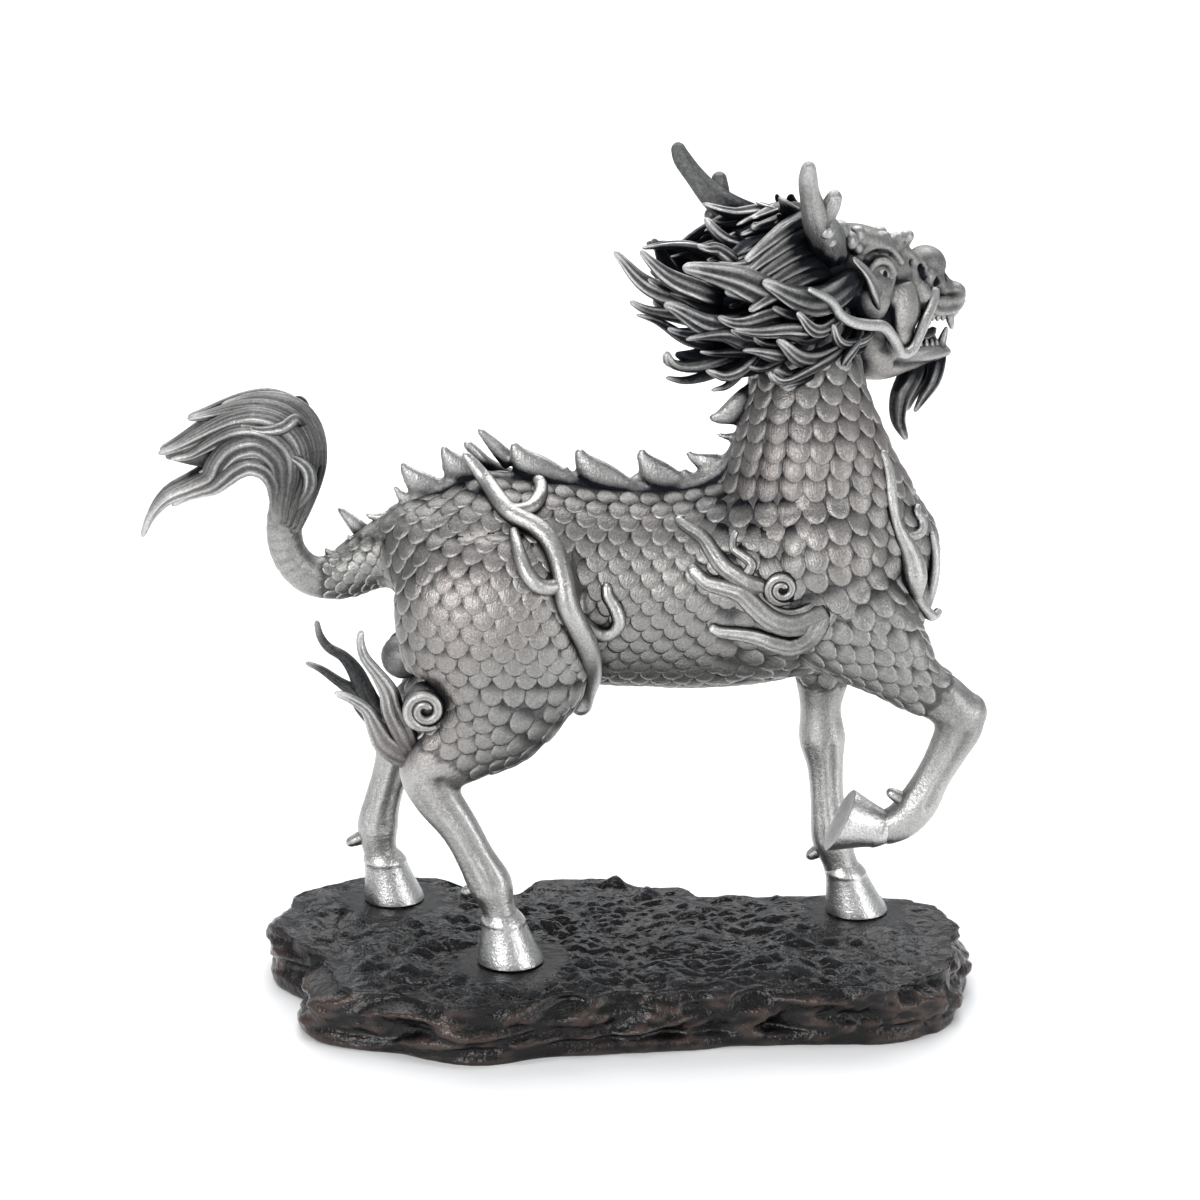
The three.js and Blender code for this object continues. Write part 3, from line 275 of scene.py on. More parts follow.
NAPE = [
    [4, 0, -8, 6, 9.5], [-4, 0, -10.5, 7.4, 10], [-14, 0, -14, 6.2, 9], [-23, 0, -15.4, 4.6, 6.8],
    [-30, 0, -14.4, 2.8, 4.4], [-35.5, 0, -12.4, 0.8, 1.4],
]
FORELOCK = [
    [11, 0, 8, 4, 4], [4, 0, 12.6, 4.4, 5.4], [-3, 0, 14.6, 4, 5.4], [-10, 0, 13.8, 3.4, 4.4],
    [-17, 0, 13, 1.8, 2.4],
]
# Rounded lumps of the face, the second on the near side: centre, then half sizes forward,
# sideways and up
NOSE = [40.2, 0, -1, 5.6, 5.2, 5.2]
CHEEK = [25.5, -7.4, -9, 6.5, 3.8, 8.4]
# Sweeps of the near side: brow, horn and its branch
BROW = [
    [5, -9, 10, 3, 3], [12, -9.6, 10.2, 2.6, 2.8], [19, -8.8, 8, 2.4, 2.6], [26, -5.6, 6.2, 2, 2.4],
    [32.4, -3, 6.4, 1, 1.4],
]
HORN = [
    [4, -8, 7.5, 4, 4], [-0.9, -14, 11.7, 3.9, 3.9], [-5.4, -18, 15, 3.6, 3.6],
    [-10.3, -22, 19.6, 2.8, 2.8], [-14, -25, 25, 2.1, 2.1], [-16.3, -27.5, 29.5, 1.9, 1.9],
    [-17, -29, 33.2, 1.2, 1.2],
]
HORN_BRANCH = [[-8.8, -21, 17, 2.3, 2.3], [-7.4, -24, 21.5, 2, 2], [-6.4, -25.5, 25.2, 1.3, 1.3]]
FAR_HORN_FORWARD = 0.15  # the far horn leans forward by this share of its distance to the side
HORN_GIRTH = 1.15
# Patina of the near and the far horn; the far one's extra darkness is painted shade
HORN_PATINA_AND_SHADE = {-1: 0.15, 1: 0.62}  # near and far
# Knobs round the root of the horn, as balls
HORN_KNOBS = [
    [4.5, -12, 13.2, 2.6, 2.2, 2.6], [7.2, -12, 10.4, 2.5, 2.2, 2.4], [2.2, -13.4, 9.8, 2.5, 2.2, 2.4],
    [10.9, -10.6, 11.4, 2.2, 2, 2.2], [-0.4, -16, 12.2, 2.4, 2.2, 2.4], [10, -11, 8.4, 2, 1.8, 2],
    [-4.6, -19.4, 12.8, 2, 2, 2], [-7.6, -22.4, 15.4, 1.9, 1.9, 1.9],
]
# Sweep of the near whisker
WHISKER = [
    [38, -6, -6, 1.6, 1.4], [36.5, -7.2, -8.5, 1.5, 1.3], [31.2, -10, -12.8, 1.4, 1.2],
    [25.8, -11.6, -18.6, 1.4, 1.2], [22.2, -12.2, -18.8, 1.4, 1.2], [18.8, -13.6, -14.8, 1.4, 1.2],
    [14.7, -14.8, -11, 1.4, 1.2], [9.3, -16, -9.7, 1.4, 1.2], [4, -17, -8.3, 1.4, 1.2],
    [-0.6, -18, -5.9, 1.3, 1.2], [-4.3, -19, -1.9, 1.2, 1.1], [-12.5, -21, 2.4, 0.7, 0.7],
]
# Locks of the beard, one in the middle and one at each side: points, and a half width
BEARD = ([[37, 0, -20], [34.4, 0, -27.4], [31, 0, -32.6], [30.2, 0, -37.8], [32.8, 0, -43.6]], 3.2)
BEARD_SIDE = ([[42, -1.5, -19.5], [41.4, -2, -25], [40, -2, -29.4], [36.6, -2, -33.4],
               [34.4, -1.4, -36.6]], 2.3)

# More forms of the face, on the near side: balls, then rods with their radius
FACE_BALLS = [
    [25.7, -7, -16, 4.4, 3.6, 5.4], [34, -4.2, -5.8, 5.6, 3, 4.2], [37.4, -4.2, -3, 3.2, 2.2, 2.2],
    [7.4, -9.6, 11, 3.2, 2, 1.9], [13.4, -9.6, 10.8, 3, 1.9, 1.8], [19.4, -9, 9.4, 3, 1.9, 1.8],
    [25.4, -7.2, 8.2, 2.8, 1.8, 1.7], [30.6, -5.2, 8, 2, 1.7, 1.8], [16, -8.6, -4, 6.5, 4, 7],
    [15, -5, -14, 8, 5, 7], [30, -3, 2.4, 4, 3, 2.4], [46, -2, -8.6, 5, 3.4, 3.4],
    [41, -3.6, -8.6, 5, 2.8, 3.8], [35.4, -4.6, -7.8, 4.4, 3, 3.8],
]
FACE_RODS = [
    ([[13.4, -10.6, 1.8], [15.6, -11.5, 4.2], [19.2, -11.2, 3.8], [22.4, -9.8, 0.2]], 1.15),
    ([[13.6, -10.6, 1.6], [15.6, -11.3, -1.6], [19, -10.9, -3], [22.4, -9.7, -0.6]], 1.0),
    ([[12, -10.4, 6.6], [16, -11, 8], [21, -10.4, 6.6], [26, -8.6, 2.2]], 1.0),
    ([[37.8, -5.4, -7.6], [35.2, -6.6, -11], [32.6, -7, -15.4], [27, -7.6, -19.4]], 1.5),
    ([[51.8, 0, -11], [47.4, -3.2, -12], [43, -4.9, -12.2], [38.4, -6, -11.4], [34.6, -7, -9.4]], 1.15),
    ([[45.4, 0, -21.8], [42, -3, -21.4], [36, -5, -20.8], [29, -6.8, -20]], 1.1),
    ([[29, -6, 5], [33, -5, 1.4], [36.4, -4.6, -0.6]], 1.3),
]
# Strokes that sculpt the face: path on the near side, reach, and height (below nought cuts)
FACE_STROKES = [
    ([[26.5, -7, 3.6], [27.6, 0, 9], [26.5, 7, 3.6]], 0.8, -0.9),
    ([[30.4, -6, 1.6], [31.4, 0, 5.4], [30.4, 6, 1.6]], 0.8, -0.9),
    ([[34, -5.4, 0], [34.8, 0, 3.6], [34, 5.4, 0]], 0.7, -0.8),
    ([[31.4, -8, -1.6], [30.2, -8.6, -7], [29.4, -8.6, -13], [29, -8, -18]], 1.0, -1.3),
    ([[20, -10, -4.4], [20.6, -10, -9], [21.4, -9.6, -15]], 1.0, -1.2),
    ([[23, -9.6, -1.4], [26.6, -9, -1.4], [31, -7.4, -1.4]], 0.8, -0.9),
    ([[11.6, -11, 3.4], [15, -12, 6], [20, -11.6, 5.4], [24.4, -9.6, 0.6]], 0.7, -0.8),
    ([[12.6, -11, -1.6], [15.4, -11.6, -3.8], [19.6, -11, -4.8]], 0.7, -0.7),
    ([[39.4, -5.4, -4.2], [39.2, -4.4, -4.4]], 1.0, -1.6),
    ([[40, -6.4, -7.4], [44, -5.6, -8], [48, -4, -8.6], [51, -1, -9]], 0.8, -1.0),
    ([[43.6, -4.6, -4.4], [44.4, -3.4, -3]], 0.9, -0.8),
    ([[24, -8, -22], [30, -6.4, -23.4], [38, -4, -24.2]], 0.9, -0.9),
    ([[35.2, -2, 4], [34.6, -4.4, 1.6], [34.6, -5.6, -1.6], [37, -5.8, -5.4], [41, -5, -6.6],
      [44.8, -2.6, -5.4], [45.6, 0, -4.6]], 0.9, -1.1),
]
# Patina in a cut, for each unit of its depth
FACE_STAIN = 0.8
LEG_STAIN = 0.25
JAW_LOCK = [[14, -6, -19], [10.4, -7.6, -25], [4.4, -8, -27.4]]
# Teeth of the near side: their roots, and the root and tip of the corner teeth
UPPER_TEETH = [
    [35.2, -6, -10.2], [37.4, -5.6, -11], [39.4, -5.2, -11.4], [41.4, -4.8, -11.6], [46.4, -3, -11.6],
    [48.6, -1.4, -11.4],
]
LOWER_TEETH = [
    [33.6, -5, -20.4], [35.8, -4.7, -20.8], [38, -4.2, -21.2], [40, -3.6, -21.4], [43.6, -1.6, -21.6],
]
CORNER_TEETH = [
    ([[43.8, -4.2, -11.6], [44.7, -4.4, -17]], 1.35), ([[41.6, -3.4, -21], [43.5, -3.8, -16.2]], 1.25),
]
TONGUE = [
    [22, 0, -15.5, 1.5, 3.4], [30, 0, -17.4, 1.5, 3.6], [37, 0, -18.6, 1.3, 3.2], [41, 0, -18, 1, 2.2],
    [42.6, 0, -16.8, 0.5, 1],
]
# Path of the near ear
EAR = [[17.6, -9.8, -7], [14.6, -12.2, -2.6], [11, -13.6, 2.4], [6.6, -14, 6.6]]
# Eyeball as a ball, and its pupil: shift from the eyeball's centre, and half sizes
EYE = [18.3, -9.3, 0.7, 3.4, 1.9, 2.6]
PUPIL = ((0.3, -1.35, -0.1), (1.1, 0.7, 1.3))

# Mane locks of the near side, from where they show first to the tip, and their half widths
MANE_LOCKS = [
    ([[-34.4, -8, 0.5], [-47, -6, 7.4], [-56.3, -4, 13.5]], 2.6),
    ([[-32.9, -10, 1.7], [-43.9, -9, 9.6], [-51.4, -8, 13.7]], 2.5),
    ([[-20.8, 0, 6.7], [-30.8, 0, 12.7], [-43.7, 0, 13.9]], 2.2),
    ([[-13.5, -13, -1.5], [-20.7, -15, 2.6], [-29.5, -16, 7.6], [-43.6, -14, 8.8]], 3.9),
    ([[-28.9, -8, -6.2], [-45.9, -8, 0.9], [-52, -6, 4.3]], 2.3),
    ([[-26, -12, -5], [-41.1, -13, -1.1], [-48.5, -12, 0.9]], 3.0),
    ([[-20.4, -12, -9.8], [-32.7, -13, -7.5], [-41.2, -12, -5.7]], 2.3),
    ([[-5.5, -14, -8.8], [-21.9, -18, -7.2], [-30.3, -17, -3.6]], 2.4),
    ([[5.4, -13.6, 0.9], [-8.9, -17.4, -1.3], [-17.8, -19, 0.2], [-23.9, -18, 4.8]], 3.7),
    ([[-5.4, 2, 17.2], [-14.3, 6, 18], [-20.7, 8, 21]], 3.2),
    ([[-4.1, -4, 14.2], [-11.6, -1, 10.8], [-19, 1, 12.4], [-24.8, 2, 18.8]], 4.3),
    ([[-2.5, -6, 17.6], [-12, -10, 9.6], [-23.9, -12, 8.2], [-31, -10, 10.4]], 3.4),
    ([[3.5, -12, -13.9], [-11.2, -16, -14.9], [-16.4, -17, -13.4], [-20.8, -17, -9.8]], 3.0),
    ([[2, -12, -15.7], [-11.1, -15, -18.6], [-15.5, -14.4, -19], [-18.4, -14, -16.6]], 2.5),
    ([[-0.8, 0, 14.6], [-5, 1, 18], [-9.4, 2, 20.6]], 2.2),
    ([[-23.8, -8, 7.4], [-27.9, -6, 12.9], [-33.3, -6, 15]], 2.4),
    ([[-0.1, -15, -7.5], [-10.8, -19, -6.9], [-15.9, -19, -4.5]], 2.2),
    ([[11.1, -12, -13.8], [-0.4, -17, -11.4], [-4.2, -17.5, -8.3]], 2.1),
    ([[5.2, 4, 12.5], [3, 5, 17], [0.6, 6, 21.2]], 1.7),
    ([[8.1, -12, -13.3], [4.2, -14, -17.4], [0.6, -14, -21.6]], 2.6),
    ([[-20.4, -10, -12.7], [-27.3, -11, -17.1], [-31.3, -10.6, -17.4], [-34.3, -10, -14.6]], 2.7),
    ([[-20.4, -4, -12.6], [-31.5, -3, -15], [-37.6, -2, -13.6], [-39.4, -2, -10.6]], 3.2),
    ([[-12.4, -12, -12.6], [-21, -15, -13.4], [-27.4, -14, -11.2]], 2.4),
    ([[-16, -14, -4.6], [-26, -17, -3.4], [-34.6, -16, -0.6]], 2.4),
]
# Fine locks side by side, behind the horn: the upper and the lower edge of the bundle
BUNDLE_TOP = [[6, -5, 13], [-1.5, -8, 17], [-9.8, -11, 16.6], [-18, -13, 14], [-25.4, -14, 10.6]]
BUNDLE_LOW = [[4, -10, 0], [-4, -13, 3], [-12, -15.5, 2.5], [-20, -17, 0.5], [-27, -17, -2]]
BUNDLE_LOCKS = 9
GOLDEN_TURN = 0.618  # of a turn, between one lock round a core and the next
UNDER_LOCKS = 44  # round the core of the mane
CROWN_LOCKS = 16  # round the forelock
LOCK_LEAD = 8.0  # a lock starts this far forward of where it shows
LOCK_SINK = 0.55  # and at this share of its distance from the head's middle line
# The far side's locks lie further forward, are shorter, and sway up and down
FAR_LOCK_FORWARD = 5.0
FAR_LOCK_REACH = 0.8
FAR_LOCK_SWAY = 2.3

# Lines inside the limbs, across which the rows of scales run
HAUNCH_AXIS = [
    [-27, -5, 113], [-31, -7, 98], [-33, -8, 82], [-34, -9, 68], [-40, -12, 58], [-45, -15.5, 51],
]
FAR_HAUNCH_SHIFT = (-3.0, 4.0, 0.0)
SHOULDER_AXIS = [
    [38, -4, 113], [45, -8, 100], [54, -11, 88], [64, -14.5, 79], [72, -16.3, 71], [76, -16.8, 68],
]
FAR_SHOULDER_AXIS = [[42, 8, 113], [46, 11, 100], [49, 13, 86], [50.5, 14.5, 73], [51, 16, 64]]
NECK_AXIS = [
    [42.5, 12, 165], [43, 11, 158], [44.2, 8, 148], [45, 4.5, 138], [45.6, 2.5, 128], [46.6, 2, 114],
    [50, 2, 100], [54, 2, 90], [60, 2, 80],
]

# Scales of each region: width, and lift, which sets the dome and how far the free edge stands off
SCALES = {"haunch": (5.5, 0.62), "throat": (9.5, 0.9), "neck": (5.9, 0.9), "shoulder": (5.6, 0.75),
          "tail": (3.6, 0.5), "trunk": (5.2, 0.65)}
SCALE_SQUASH = 0.66  # distance between two rows, as a share of the width
SCALE_GAP = 0.66  # least distance between two scales, as a share of the width
SNAP_REACH = 3.2  # a place further off the skin is dropped
SNAP_FACING = 0.35  # and so is one whose skin faces elsewhere: least cosine
THROAT_GAP = 4.6  # distance between two throat plates
TRUNK_SPAN = (-52.0, 70.0)  # the trunk's rows, along X
TRUNK_LEAN = 0.35  # how far its scales lean backwards from straight down
# Rings of a plate, from its middle outwards: share of its size, and height of the dome there at a
# lift of 1 and a width of 5
PLATE_RINGS = ((0.5, 0.4), (0.84, 0.18), (1.0, -0.1))
PLATE_MIDDLE = 0.45  # height of the dome's middle
PLATE_SEGMENTS = 14
# Shares of a plate's size: half width, length of its free end and of its hidden one, how far the
# middle of the free edge juts out, and how far the plate may lie from its place
PLATE_WIDE, PLATE_FREE, PLATE_HIDDEN = 0.54, 0.56, 0.95
PLATE_POINT, PLATE_SHIFT = 0.16, 0.05
PLATE_SUNK = -0.9  # height of its skirt's end, under the skin

# Rock outline, counter-clockwise, in hundredths of its half length and half depth
ROCK_OUTLINE = [
    [100, 9], [99, 34], [93, 56], [70, 67], [47, 67], [25, 70], [9, 92], [-9, 100], [-23, 92],
    [-32, 72], [-45, 74], [-54, 92], [-68, 100], [-84, 92], [-95, 74], [-100, 47], [-100, 13],
    [-95, -2], [-89, -20], [-90, -43], [-87, -61], [-79, -75], [-63, -85], [-49, -96], [-36, -100],
    [-23, -93], [-9, -89], [11, -84], [38, -75], [59, -73], [75, -71], [86, -61], [93, -49], [97, -18],
]
BASE_LENGTH = 177.0
BASE_DEPTH = 89.0
BASE_HEIGHT = 15.0
ROCK_COLUMNS, ROCK_SIDE_ROWS, ROCK_TOP_ROWS = 390, 30, 90
SEAT_MARGIN = 2.5  # the top is level this far round a sole
SEAT_SLOPE = 7.0  # and as rough as elsewhere after this much more
ROCK_LIP = 0.6  # height of the rounding between the side and the top

# Camera: place, lens and sensor in millimetres, and tilt from straight down, in degrees
CAMERA_PLACE = (-4.6, -850.95, 379.9)
CAMERA_LENS, CAMERA_SENSOR = 110.7, 36.0
CAMERA_TILT = 72
# Soft lights: name, place, target, width and height, all in metres, and power in watts
SOFTBOXES = [
    ("key", (-0.7, -1.3, 0.75), (0, 0, 0.1), (0.8, 0.6), 16),
    ("fill", (1.1, -0.8, 0.45), (0, 0, 0.1), (0.5, 0.8), 6),
    ("top", (0, 0.3, 1.6), (0, 0, 0.1), (1.0, 0.7), 10),
    ("backdrop", (0, 1.3, 1.5), (0, 1.3, 0), (3.0, 1.4), 42),
]

CURVE_STEPS = 14  # points of a dense curve between two rows
# Voxels of the remeshed skins, and rounds of smoothing
BODY_SKIN = (1.02, 7)
HEAD_SKIN = (0.48, 4)
CREST_SKIN = (0.62, 5)
# Curls: turns, angle of the outer end, share of the radius by which they wind inwards, points
CURL_TURNS = 1.8
CURL_START = -1.05
CURL_INWARD = 0.8
CURL_STEPS = 80

GRID_CELL = 0.9  # of the grid that finds hollows
GRID_MARGIN = 12.0
GRID_SHIFT = 0.0137  # keeps cell middles off points with round numbers


def unit(vectors):
    """The vectors at length 1."""
    return vectors / np.maximum(np.linalg.norm(vectors, axis=-1, keepdims=True), 1e-9)


def smooth_step(low, high, value):
    """0 at low, 1 at high, with a soft start and end. High may be below low."""
    t = np.clip((value - low) / (high - low), 0, 1)
    return t * t * (3 - 2 * t)


def curve(rows, closed):
    """Centripetal curve through the rows. The first three numbers of a row are its place."""
    p = np.asarray(rows, float)
    if closed:
        ends = np.vstack([p[-1], p, p[0], p[1]])
    else:
        ends = np.vstack([2 * p[0] - p[1], p, 2 * p[-1] - p[-2]])
    gap = np.maximum(np.linalg.norm(np.diff(ends[:, :3], axis=0), axis=1) ** 0.5, 1e-3)
    t = np.linspace(0, 1, CURVE_STEPS, endpoint=False)[:, None]
    pieces = []
    for i in range(len(ends) - 3):
        a, b, c, d = ends[i:i + 4]
        ab, bc, cd = gap[i:i + 3]
        leave = ((b - a) / ab - (c - a) / (ab + bc) + (c - b) / bc) * bc
        arrive = ((c - b) / bc - (d - b) / (bc + cd) + (d - c) / cd) * bc
        pieces.append((2 * t**3 - 3 * t**2 + 1) * b + (t**3 - 2 * t**2 + t) * leave
                      + (3 * t**2 - 2 * t**3) * c + (t**3 - t**2) * arrive)
    pieces.append(ends[-2:-1])
    return np.vstack(pieces)


def passed(points):
    """Distance along a line of points, at each of them."""
    return np.concatenate([[0], np.cumsum(np.linalg.norm(np.diff(points, axis=0), axis=1))])


def along(rows, at, closed=False):
    """Rows of the curve at shares of its length, and that length."""
    dense = curve(rows, closed)
    reach = passed(dense[:, :3])
    want = np.asarray(at) * reach[-1]
    return np.column_stack([np.interp(want, reach, column) for column in dense.T]), reach[-1]


def even(rows, count):
    """That many rows of the curve, at even distances."""
    return along(rows, np.linspace(0, 1, count))[0]


class Shape:
    """Closed skin in figure units, with two numbers at each point: how rubbed it is, with a painted
    blue-grey sky reflection on the rock's top ridges, and how dark it is, from patina and from painted
    shade. Grain holds a place across and along the form, for fine striations."""

    def __init__(self, points, faces, rubbed=0.0, dark=0.0, grain=None):
        self.points = np.asarray(points, float)
        self.faces = faces
        count = len(self.points)
        self.rubbed = np.broadcast_to(np.asarray(rubbed, float), (count,)).copy()
        self.dark = np.broadcast_to(np.asarray(dark, float), (count,)).copy()
        self.grain = np.zeros((count, 3)) if grain is None else np.asarray(grain, float)

    def triangles(self):
        return np.array([(f[0], f[i], f[i + 1]) for f in self.faces for i in range(1, len(f) - 1)])

    def outward(self):
        a, b, c = (self.points[self.triangles()[:, k]] - self.points.mean(0) for k in range(3))
        if np.einsum("ij,ij->i", a, np.cross(b, c)).sum() < 0:
            self.faces = [tuple(reversed(face)) for face in self.faces]
        return self

    def mapped(self, change):
        self.points = change(self.points)
        return self.outward()


def join(shapes):
    """One shape of them all, with their skins as they are."""
    faces, start = [], 0
    for shape in shapes:
        faces += [tuple(i + start for i in face) for face in shape.faces]
        start += len(shape.points)
    return Shape(np.vstack([s.points for s in shapes]), faces,
                 np.concatenate([s.rubbed for s in shapes]), np.concatenate([s.dark for s in shapes]),
                 np.vstack([s.grain for s in shapes]))


def wrap(rings):
    """Points and faces of a skin over rings of equal size (an array of ring, point, place),
    closed by a pole at each end. The two poles are the last points."""
    count, around = rings.shape[:2]
    faces = []
    for i in range(count - 1):
        for j in range(around):
            k = (j + 1) % around
            faces.append((i * around + j, i * around + k, (i + 1) * around + k, (i + 1) * around + j))
    for end, ring in enumerate((0, count - 1)):
        for j in range(around):
            k = (j + 1) % around
            one, two = (j, k) if end else (k, j)
            faces.append((ring * around + one, ring * around + two, count * around + end))
    return np.vstack([rings.reshape(-1, 3), rings[0].mean(0), rings[-1].mean(0)]), faces


def ring_angles(around):
    """Angles round a ring, from its seam at -pi."""
    return 2 * np.pi * np.arange(around) / around - np.pi


def round_end(share, start, least=0.0004):
    """Factor that closes a form in a round end, between the start and the end of its length."""
    return np.sqrt(np.clip(1 - (np.maximum(0, share - start) / (1 - start)) ** 2, least, 1))


def tube(path, wide, deep, face, around, relief=1.0, rubbed=0.0, dark=0.0, striated=0.0):
    """Skin round a path. Angle 0 of each ring lies towards the face, and the seam behind it."""
    tangent = unit(np.gradient(path, axis=0))
    face = np.broadcast_to(np.asarray(face, float), path.shape)
    side = unit(np.cross(face, tangent))
    front = unit(np.cross(tangent, side))
    angle = ring_angles(around)
    relief = np.broadcast_to(relief, (len(path), around))
    out_side = (np.sin(angle) * relief * np.asarray(wide)[:, None])[..., None] * side[:, None]
    out_front = (np.cos(angle) * relief * np.asarray(deep)[:, None])[..., None] * front[:, None]
    points, faces = wrap(path[:, None] + out_side + out_front)
    grain = np.stack(np.broadcast_arrays(angle * np.max(wide), passed(path)[:, None], striated), -1)
    grain = np.vstack([grain.reshape(-1, 3), np.zeros((2, 3))])
    looks = []
    for value in (rubbed, dark):
        value = np.broadcast_to(value, relief.shape).reshape(-1)
        looks.append(np.append(value, [value[0], value[-1]]))
    return Shape(points, faces, *looks, grain).outward()


def sweep(stations, around, **looks):
    """Body form swept through stations, with round ends."""
    rows = even(stations, 6 * len(stations))
    return tube(rows[:, :3], rows[:, 3], rows[:, 4], Y, around, **looks)


def ball(centre, sizes, around=20, rows=12, **looks):
    """Ellipsoid from its centre and its three half sizes."""
    down = np.pi * (np.arange(rows) + 0.5) / rows
    turn = 2 * np.pi * np.arange(around) / around
    rings = np.stack([np.sin(down)[:, None] * np.cos(turn), np.sin(down)[:, None] * np.sin(turn),
                      np.broadcast_to(np.cos(down)[:, None], (rows, around))], -1)
    return Shape(*wrap(rings * np.asarray(sizes, float) + np.asarray(centre, float)), **looks).outward()


def tip_shares(length, radius, count, tip_count=6):
    """Shares of a lock's length, closer together over its round tip."""
    start = max(0.6, 1 - radius / length)
    turn = np.sin(np.linspace(0, np.pi / 2, tip_count + 1)[1:])
    return np.concatenate([np.linspace(0, start, count - tip_count), start + (1 - start) * turn]), start


def strand(points, half, face, *, tip, ridges, steps, around, depth=0.85, root=0.8, groove=0.2,
           striated=1.0, root_dark=0.9, twist=0.0, fine=0, seed=0.0, dim=0.0, wave=0.0, belly_at=0.31,
           fall=2, shine=1.0):
    """Lock of hair or flame: swells from its root, tapers to a round tip, and carries lengthwise
    ridges at the given angles, with grooves between them. Fine ones run all round it.

    Depth, root and tip are shares of its width. It is widest at belly_at, and tapers later with a
    higher fall. Twist turns the ridges over its length, and wave swings it sideways. Shine is how
    rubbed the ridges are, dim the patina beside them, and root_dark the patina at the root."""
    _, length = along(points, [0, 1])
    share, start = tip_shares(length, half * tip * 1.15, steps)
    path, _ = along(points, share)
    if wave:
        tangents = unit(np.gradient(path, axis=0))
        swing = unit(np.cross(np.asarray(face, float), tangents))
        path = path + swing * (wave * share * np.sin(2 * np.pi * 1.15 * share + seed))[:, None]
    belly = root + (1 - root) * np.sin(np.pi * np.minimum(1, share * 0.5 / belly_at))
    taper = 1 - (1 - tip) * share**fall
    size = half * belly * taper * round_end(share, start)
    angle = ring_angles(around)
    turned = angle[None] - twist * (share[:, None] - 0.5)
    fade = smooth_step(0.0, 0.1, share) * (1 - smooth_step(0.82, 0.98, share))
    relief = np.ones((steps, around))
    rub = np.zeros((steps, around))
    for k, where in enumerate(ridges):
        bump = np.exp(-((turned - where) / 0.26) ** 2)
        relief += groove * 0.55 * bump * fade[:, None]
        rub += bump * (1.0 if k == 0 else 0.6)
    for one, two in zip(ridges, ridges[1:]):
        dip = np.exp(-((turned - (one + two) / 2) / 0.24) ** 2)
        relief -= groove * dip * fade[:, None]
        rub -= 0.9 * dip
    if fine:
        wander = 1.3 * np.sin(3.1 * share + seed)[:, None]
        hair = np.cos(fine * turned + wander) * (0.6 + 0.4 * np.cos(2.3 * angle[None] + seed))
        relief += 0.035 * hair * fade[:, None]
        rub += 0.35 * hair
    rub = shine * np.clip(0.15 + 0.7 * rub, 0, 1) * smooth_step(0.05, 0.5, share)[:, None]
    rub = rub + 0.5 * smooth_step(0.85, 1, share)[:, None]
    hidden = 1 - smooth_step(0, 0.45, share)[:, None]
    back = smooth_step(1.3, 2.4, np.abs(angle))[None]
    dark = np.clip(root_dark * hidden + 0.35 * back + dim * (1 - 1.3 * np.clip(rub, 0, 1)), 0, 1)
    return tube(path, size, size * depth, face, around, relief, np.clip(rub, 0, 1), dark, striated)


def rod(stations, face, steps, around, relief=None, both_round=False, **looks):
    """Round bar through stations with a round end, or with two of them."""
    _, length = along(stations, [0, 1])
    share, start = tip_shares(length, stations[-1][3], steps, 8)
    if both_round:
        share = (1 - np.cos(np.pi * np.linspace(0, 1, steps))) / 2
    rows, _ = along(stations, share)
    blunt = round_end(share, start)
    if both_round:
        blunt = blunt * round_end(1 - share, 1 - stations[0][3] / length)
    bumps = 1.0 if relief is None else relief(share[:, None], ring_angles(around)[None])
    return tube(rows[:, :3], rows[:, 3] * blunt, rows[:, 4] * blunt, face, around, bumps, **looks)


def spiral(centre, radius, face, lift):
    """Rod that winds inwards, clockwise as seen from outside, with two ridges along it."""
    half = radius * 0.235
    share = np.linspace(0, 1, CURL_STEPS)
    angle = CURL_START - CURL_TURNS * 2 * np.pi * share
    reach = (radius - half) * (1 - CURL_INWARD * share**0.85)
    across = unit(np.cross(Z, face))
    path = (np.asarray(centre, float) + across * (np.cos(angle) * reach)[:, None]
            + Z * (np.sin(angle) * reach)[:, None] + np.asarray(face) * (lift * share)[:, None])
    swell = smooth_step(0, 0.12, share) * 0.6 + 0.4
    size = half * (1 - 0.4 * share) * swell * round_end(share, 0.96, 0.002)
    ring = ring_angles(18)
    ridges = np.exp(-((np.abs(ring) - 0.55) / 0.35) ** 2)
    dark = smooth_step(0.9, 2.0, np.abs(ring)) * 0.8 + 0.25 * np.exp(-(ring / 0.25) ** 2)
    return tube(path, size, size * 1.1, face, 18, 1 + 0.1 * ridges, 0.35 * ridges, dark, 0.6)


def head_place(points):
    """From the head's frame to the figure's."""
    lean, turn = -HEAD_LEAN, HEAD_TURN
    a, b, c = np.asarray(points, float).T  # forward, to the left, up
    b, c = b * math.cos(lean) - c * math.sin(lean), b * math.sin(lean) + c * math.cos(lean)
    a, b = a * math.cos(turn) - b * math.sin(turn), a * math.sin(turn) + b * math.cos(turn)
    return np.column_stack([a, b, c]) + HEAD_ORIGIN


def flipped(rows, side):
    """The rows as they are for the animal's right side (-1), mirrored for its left side (1)."""
    rows = np.array(rows, float)
    rows[:, 1] *= -side
    return rows


def new_mesh(name, points, faces):
    """Blender mesh of the points and faces."""
    mesh = bpy.data.meshes.new(name)
    mesh.from_pydata(np.asarray(points).tolist(), [], faces)
    mesh.validate()
    mesh.update()
    return mesh


def to_metres(points):
    """From figure units to the part's frame, in metres."""
    return (np.asarray(points) * UNIT + (0, SET_BACK, SOLES)) * MM


def linked(name, data):
    """New object with the data, in the scene."""
    thing = bpy.data.objects.new(name, data)
    bpy.context.scene.collection.objects.link(thing)
    return thing


